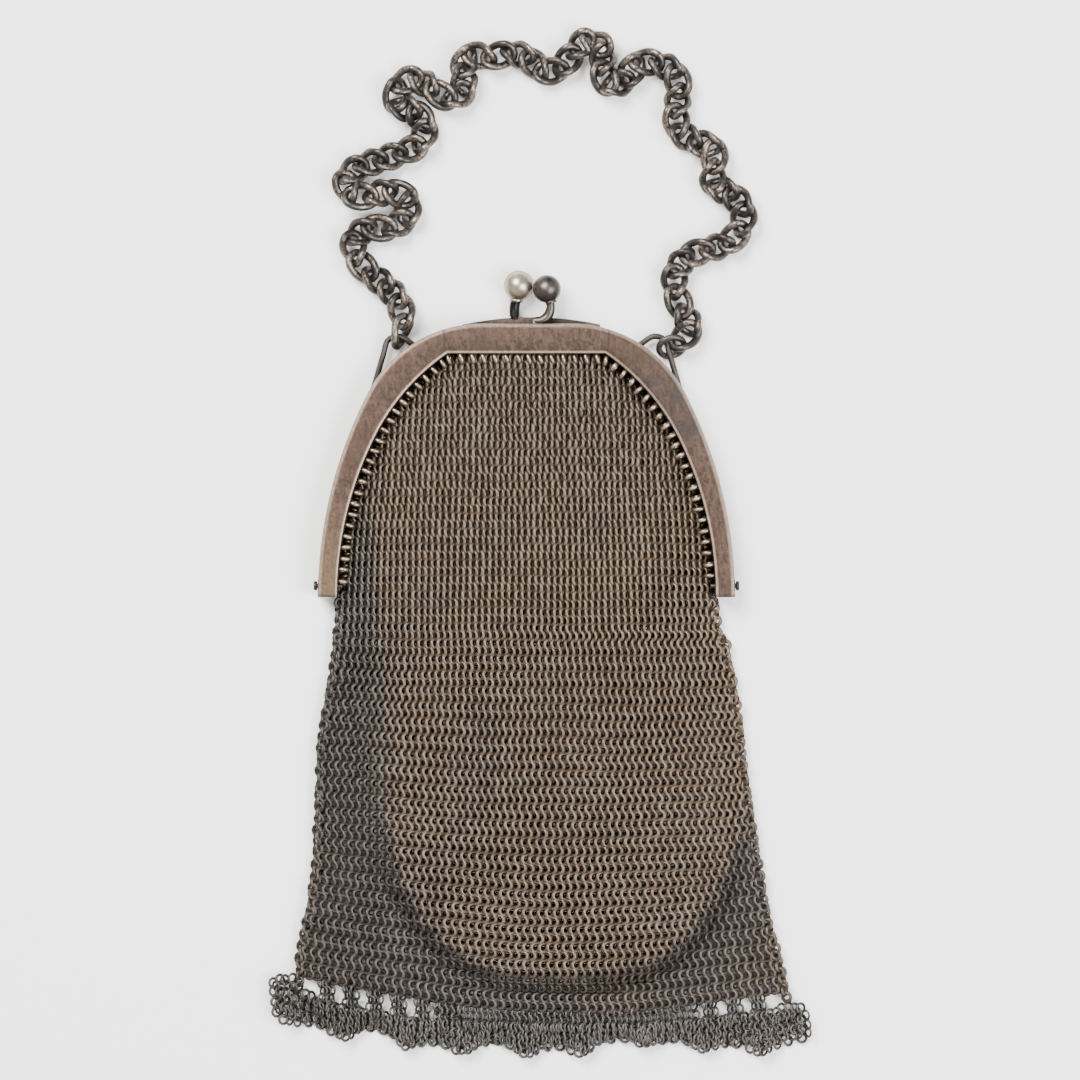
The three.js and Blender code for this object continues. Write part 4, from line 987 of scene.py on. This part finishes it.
# Rows: share of the drop, spread of the left edge, spread of the right edge
side_rows = [
    (0, 0, 0), (0.03, 0, 0), (0.08, 0.02, 0.02), (0.12, 0.04, 0.16), (0.26, 0.25, 0.29),
    (0.4, 0.45, 0.38), (0.55, 0.5, 0.5), (0.7, 0.56, 0.62), (0.82, 0.72, 0.75),
    (0.92, 0.96, 0.9), (1, 1, 1),
]


def from_table(table, share, column):
    """Value of a column at a share, which the first column of the table holds."""
    for before, after in zip(table, table[1:]):
        if share <= after[0]:
            part = (share - before[0]) / (after[0] - before[0])
            return mix(before[column], after[column], max(part, 0))
    return table[-1][column]


def arch_half(y):
    """Half the room inside the frame at a height above the feet."""
    if y <= 0:
        return 1e9
    if y >= inner_arch.height:
        return 0.0
    low, high = inner_arch.start, math.pi / 2
    for _ in range(30):
        middle = (low + high) / 2
        if inner_arch.at(middle).y > y:
            low = middle
        else:
            high = middle
    return inner_arch.at(low).x


def bag_sides(level):
    """Left and right edges of a row; levels below the feet end at -bag_drop, the hem."""
    if level > 0:
        gathered = 1 - 0.08 * level / inner_arch.height
        return -bag_half_mouth * gathered, bag_half_mouth * gathered
    share = min(-level / bag_drop, 1.0)
    return (-bag_half_mouth - spread_left * from_table(side_rows, share, 1),
            bag_half_mouth + spread_right * from_table(side_rows, share, 2))


def row_height(level, u):
    """Where a row runs at a place across the bag: it sags more the lower it is."""
    if level > 0:
        return level
    share = -level / bag_drop
    sag = hem_sag * math.sin(math.pi * min(max(u, 0.0), 1.0)) * share
    return -share * (mix(left_hem_drop, right_hem_drop, u) + sag)


def bag_top(x, y):
    """Height of the bag's upper face over the table."""
    left, right = bag_sides(y)
    room = arch_half(y)
    left, right = max(left, -room), min(right, room)
    u = min(max((x - left) / max(right - left, 1.0), 0.0), 1.0)
    v = min(max((60.2 - y) / 164.0 if y > 0 else mix(0.3, 1.0, -y / 104.0), 0.0), 1.0)
    below = abs(min(y + belly_level, 0.0)) / belly_reach
    across = abs(x - belly_middle * smooth(v * 1.5)) / belly_half_width
    inside = 1 - (across ** belly_power + below ** belly_power) ** (1 / belly_power)
    lift = smooth(0.5 + inside * belly_half_width / mix(16, 4.5, smooth((-50 - y) / 30)))
    crown = math.sin(math.pi * u) ** 0.6
    upper = mix(7.0, 9.4, smooth(v * 2.2))
    fold = 0.5 * math.sin(x * 0.22 + y * 0.05) * smooth(v * 3) * smooth(3 - 3 * v)
    crease_line = mix(-46.4, -42.1, smooth((-13 - y) / 30))
    crease = smooth((-6 - y) / 10) * smooth((y + 58) / 12)
    crease *= math.exp(-((x - crease_line) / 1.7) ** 2)
    body = mix(3.8, upper, lift) + fold - 0.9 * crease
    return mix(3.0, body, min(crown * 1.25, 1.0))


def surface_axes(x, y, height):
    step = 0.8
    slope_x = (height(x + step, y) - height(x - step, y)) / (4 * step)
    slope_y = (height(x, y + step) - height(x, y - step)) / (4 * step)
    normal = Vector((-slope_x, -slope_y, 1)).normalized()
    across = Vector((1, 0, slope_x)).normalized()
    return across, normal.cross(across), normal


ring_outer, ring_wire = 3.2, 0.92
ring_depth = 1.35
ring_reach = (ring_outer - ring_wire) / 2
row_step = 1.98
column_count = 58


def sway(x, y, seed):
    """Slow unevenness from -1 to 1, made of a few long waves."""
    return (math.sin(x * 0.13 + y * 0.071 + seed) + math.sin(x * -0.047 + y * 0.19 + 2 * seed)
            + math.sin(x * 0.21 - y * 0.11 + 3 * seed)) / 3


def ring_place(x, y, z, axes, lean, side, spin=0.0, squeeze=1.0):
    """squeeze flattens a ring that stands steeply, as the weight of the mail does."""
    across, along, normal = axes
    slant = across * math.cos(lean) + normal * side * math.sin(lean) * squeeze
    turn = Matrix.Rotation(spin, 3, normal)
    first, second = turn @ along, turn @ slant
    thicker = 1 + 0.1 * smooth((math.degrees(lean) - 45) / 25)
    return Vector((x, y, z)), first, second, first.cross(second).normalized() * thicker


def ring_lean(pitch, zigzag):
    """Lean at which the high sides of two rows stand in one line (0) or half a pitch apart (1)."""
    return math.acos(min(pitch * (1 + zigzag) / 2 / (2 * ring_reach), 0.9))


def mail_rings(face, mouth_inset):
    """Rings of one face of the bag: 1 is the upper one and -1 the one on the table."""
    places, tones, facing = [], [], []
    rows = int((inner_arch.height + bag_drop) / row_step)
    for row in range(rows):
        level = inner_arch.height - 1.0 - row * row_step
        parity = row % 2
        left, right = bag_sides(level)
        for column in range(column_count + parity):
            u = (column + 0.5 - parity * 0.5) / column_count
            x = mix(left, right, u) + 0.25 * sway(u * 90, level, 1.3)
            y = row_height(level, u) + 0.3 * sway(u * 90, level, 4.1)
            if y > -1.0 and abs(x) > arch_half(y + mouth_inset * 0.7) - mouth_inset:
                continue
            pitch = (right - left) / column_count
            loose = smooth((y - 5) / 30)
            zigzag = mix(0.04, 1.02, smooth((18 - y) / 56)) + 0.2 * sway(x, y, 2.2)
            zigzag += 0.3 * smooth((abs(x) - 24) / 18) * smooth((30 - y) / 25)
            lean = ring_lean(pitch, max(zigzag, 0)) \
                + math.radians(chance.uniform(-4, 4) * (1 + loose))
            high = bag_top(x, y)
            squeeze = min(1.0, ring_depth / (2 * ring_reach * math.sin(lean)))
            half = ring_reach * math.sin(lean) * squeeze + ring_wire / 2
            if face > 0:
                axes = surface_axes(x, y, bag_top)
                center = Vector((x, y, high)) - axes[2] * half
            else:
                axes = flat_axes
                center = Vector((x, y, half))
            lean_side = (1 if parity else -1) * face
            places.append(ring_place(
                center.x + chance.uniform(-0.06, 0.06), center.y + chance.uniform(-0.08, 0.08),
                center.z, axes, lean, lean_side,
                math.radians(chance.uniform(-6, 6) * (1 + 1.2 * loose)), squeeze))
            tones.append(chance.random() ** 1.2)
            facing.append(lean_side)
    return places, tones, facing


def side_seam_rings():
    """Rings along both side edges, where the two faces of the bag are joined."""
    places, tones, facing = [], [], []
    seam_step = 1.5
    for k in range(int(bag_drop / seam_step)):
        level = -seam_step - k * seam_step
        for number, edge in enumerate(bag_sides(level)):
            y = row_height(level, number)
            out = -1 if number == 0 else 1
            x = edge + out * (0.1 + 0.35 * (k % 2) + chance.uniform(-0.25, 0.25))
            lean = math.radians(chance.uniform(25, 62))
            places.append(ring_place(x, y, chance.uniform(1.5, 2.6), flat_axes, lean,
                                     1 if k % 2 else -1, math.radians(chance.uniform(-25, 25))))
            tones.append(chance.random() * 0.9)
            facing.append(1 if k % 2 else -1)
    return places, tones, facing


fine_ring = Pattern(wire_ring(ring_outer + 0.06, ring_wire + 0.12, 10, 4))
plain_ring = Pattern(wire_ring(ring_outer + 0.1, ring_wire + 0.16, 8, 4))
frill_ring = Pattern(wire_ring(3.05, 0.74, 10, 4))


def spread_rings(name, pattern, places, tones, facing, finish, node, share):
    """Splits many rings into pieces that stay small enough."""
    size = math.ceil(len(places) / share)
    for number in range(share):
        part = slice(number * size, (number + 1) * size)
        made = pattern.spread(name, places[part], tones[part], facing[part])
        finished(made, f"{name}_{number + 1}", finish, "mail_metal", node)


spread_rings("mail_front", fine_ring, *mail_rings(1, 1.1), mail_finish, "mesh_bag", 2)
spread_rings("mail_back", plain_ring, *mail_rings(-1, 0.3), back_mail_finish, "mesh_bag", 2)
spread_rings("mail_seams", fine_ring, *side_seam_rings(), mail_finish, "mesh_bag", 1)


# ------------------------------------------------------------------ lacing inside the frame

side_run = inner_arch.side * (math.pi / 2 - inner_arch.turned)
shoulder_run = inner_arch.shoulder * (inner_arch.turned - inner_arch.start)
half_run = side_run + shoulder_run + inner_arch.flat
lacing_count, lacing_start = 60, 4.0


def inner_edge(distance):
    """Point of the frame's inner edge and the way inwards, at a run from the left foot."""
    hand = -1 if distance < half_run else 1
    run = distance if distance < half_run else 2 * half_run - distance
    if run > side_run + shoulder_run:
        return Vector((hand * (half_run - run), inner_arch.height)), Vector((0, -1))
    heading = math.pi / 2 - run / inner_arch.side
    if run > side_run:
        heading = inner_arch.turned - (run - side_run) / inner_arch.shoulder
    spot = inner_arch.at(heading)
    return (Vector((hand * spot.x, spot.y)),
            Vector((-hand * math.sin(heading), -math.cos(heading))))


def lacing(face):
    places, tones = [], []
    for k in range(lacing_count):
        stagger = 0.0 if face > 0 else 0.5
        share = (k + stagger) / (lacing_count - 0.5)
        spot, inward = inner_edge(lacing_start + 2 * (half_run - lacing_start) * share)
        slant = 16 if abs(spot.x) < inner_arch.flat + 1 else 3
        turned = Matrix.Rotation(math.radians(slant + chance.uniform(-8, 8)), 2)
        way = turned @ inward
        center = spot + inward * (1.3 + chance.uniform(-0.15, 0.15))
        level = parting + face * (2.1 + chance.uniform(-0.15, 0.15))
        first = Vector((way.x, way.y, -0.12 * face)).normalized()
        up = flat_axes[2]
        second = (up - first * up.dot(first)).normalized()
        second = Matrix.Rotation(math.radians(chance.uniform(-14, 14)), 3, first) @ second
        length = chance.uniform(0.85, 1.02)
        places.append((Vector((center.x, center.y, level)), first * length, second * 0.84,
                       first.cross(second)))
        tones.append(chance.uniform(0.3, 1.0))
    return places, tones


lacing_ring = Pattern(wire_ring(3.6, 1.15, 14, 5))
for face, face_name in ((1, "front"), (-1, "back")):
    places, tones = lacing(face)
    finished(lacing_ring.spread("lacing", places, tones), "lacing_" + face_name,
             lacing_finish, "mail_metal", "mesh_bag")


# ------------------------------------------------------------------ frill and openwork

frill_drop = 12
# Rows: share of the width, then the frill's upper and lower edge as shares of its drop
frill_table = [
    (0, -0.1, 0.2), (0.045, -0.3, 0.55), (0.062, -0.05, 0.68), (0.114, 0.06, 0.88),
    (0.206, 0.26, 0.86), (0.255, 0.36, 1.08), (0.338, 0.55, 1.2), (0.421, 0.6, 1.14),
    (0.484, 0.62, 1.28), (0.576, 0.64, 1.24), (0.673, 0.62, 0.98), (0.722, 0.6, 1.08),
    (0.812, 0.52, 1.16), (0.903, 0.38, 1.24), (0.955, 0.31, 1.12), (1, 0.5, 0.8),
]
hem_left, hem_right = -bag_half_mouth - spread_left, bag_half_mouth + spread_right
frill_left, frill_right = hem_left - 9, hem_right + 7.2
frill_rows, frill_folds, fold_height = 7, 9, 1.7
post_pitch, post_row = 6, 1.7


def frill_edge(share, column):
    return -bag_drop - frill_drop * from_table(frill_table, share, column)


def opening_drop(x):
    """How far the frill's first ring row hangs below the solid's edge at the open stretches."""
    return 1.6 * smooth((-18 - x) / 8) * smooth((x + 56) / 6)


def frill_rings():
    """Rows of rings in waves; the last row hangs open, with fewer and flatter rings."""
    places, tones, facing = [], [], []
    fold_turn = 2 * math.pi * frill_folds
    for row in range(frill_rows):
        last = row == frill_rows - 1
        columns = 60 if last else 86
        down = row / (frill_rows - 1)
        for column in range(columns):
            share = (column + 0.5 + 0.5 * (row % 2)) / (columns + 0.5)
            wave, swing = math.sin(fold_turn * share), math.cos(fold_turn * share)
            x = mix(frill_left + 1.5, frill_right - 1.5, share) + swing * down
            flare = smooth((share - 0.93) / 0.06) + smooth((0.07 - share) / 0.06)
            head = frill_edge(share, 1) - 1.2 - opening_drop(x) + 2.4 * flare
            tail = frill_edge(share, 2) - 1.4 * (1 + wave) / 2 + 1.4 - 2.0 * flare
            x += chance.uniform(-0.3, 0.3)
            y = mix(head, tail, down) + chance.uniform(-0.35, 0.35)
            z = 0.7 + fold_height + (0.3 + 0.7 * down) * fold_height * wave \
                + chance.uniform(-0.2, 0.2)
            slope = fold_height * swing * fold_turn / 138 * down
            across = Vector((1, 0, slope)).normalized()
            axes = (across, Vector((0, 1, 0)), Vector((-slope, 0, 1)).normalized())
            open_end = smooth((share - 0.84) / 0.06) + smooth((0.08 - share) / 0.04)
            steep = mix(62, 42, open_end)
            lean = math.radians(chance.uniform(5, 32) if last else chance.uniform(26, steep))
            z = max(z, ring_reach * math.sin(lean) + 0.35)
            side = 1 if row % 2 else -1
            places.append(ring_place(x, y, z, axes, lean, side,
                                     math.radians(chance.uniform(-20, 20))))
            tones.append(chance.random() * 0.9)
            facing.append(side)
    return places, tones, facing


def openwork_rings():
    """Short posts of rings between the hem and the frill, with open gaps between them."""
    places, tones, facing = [], [], []
    span = hem_right - hem_left
    count = int((span - 3) / post_pitch)
    first = (hem_left + hem_right) / 2 - (count - 1) / 2 * post_pitch
    for k in range(count):
        x = first + post_pitch * k
        top = row_height(-bag_drop, (x - hem_left) / span) + 0.9
        share = (x - frill_left) / (frill_right - frill_left)
        bottom = frill_edge(share, 1) - 0.9 - opening_drop(x)
        covered = -21 < x < 44
        rows = max(2, round((top - bottom) / post_row) + 1)
        for column in ((-2.2, -0.75, 0.75, 2.2) if covered else (-1.0, 0.0, 1.0)):
            for row in range(rows):
                y = mix(top, bottom, row / (rows - 1)) + chance.uniform(-0.15, 0.15)
                lean = math.radians(chance.uniform(32, 54))
                side = 1 if row % 2 else -1
                places.append(ring_place(x + column + 0.25 * side, y,
                                         2.0 + chance.uniform(-0.2, 0.4), flat_axes, lean, side,
                                         math.radians(chance.uniform(-20, 20))))
                tones.append(chance.random() * 0.85)
                facing.append(side)
    return places, tones, facing


frill_parts = [rings + posts for rings, posts in zip(frill_rings(), openwork_rings())]
spread_rings("frill", frill_ring, *frill_parts, frill_finish, "hem_frill", 1)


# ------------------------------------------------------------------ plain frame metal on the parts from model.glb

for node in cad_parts.values():
    node.data.materials.clear()
    node.data.materials.append(frame_plain.material)
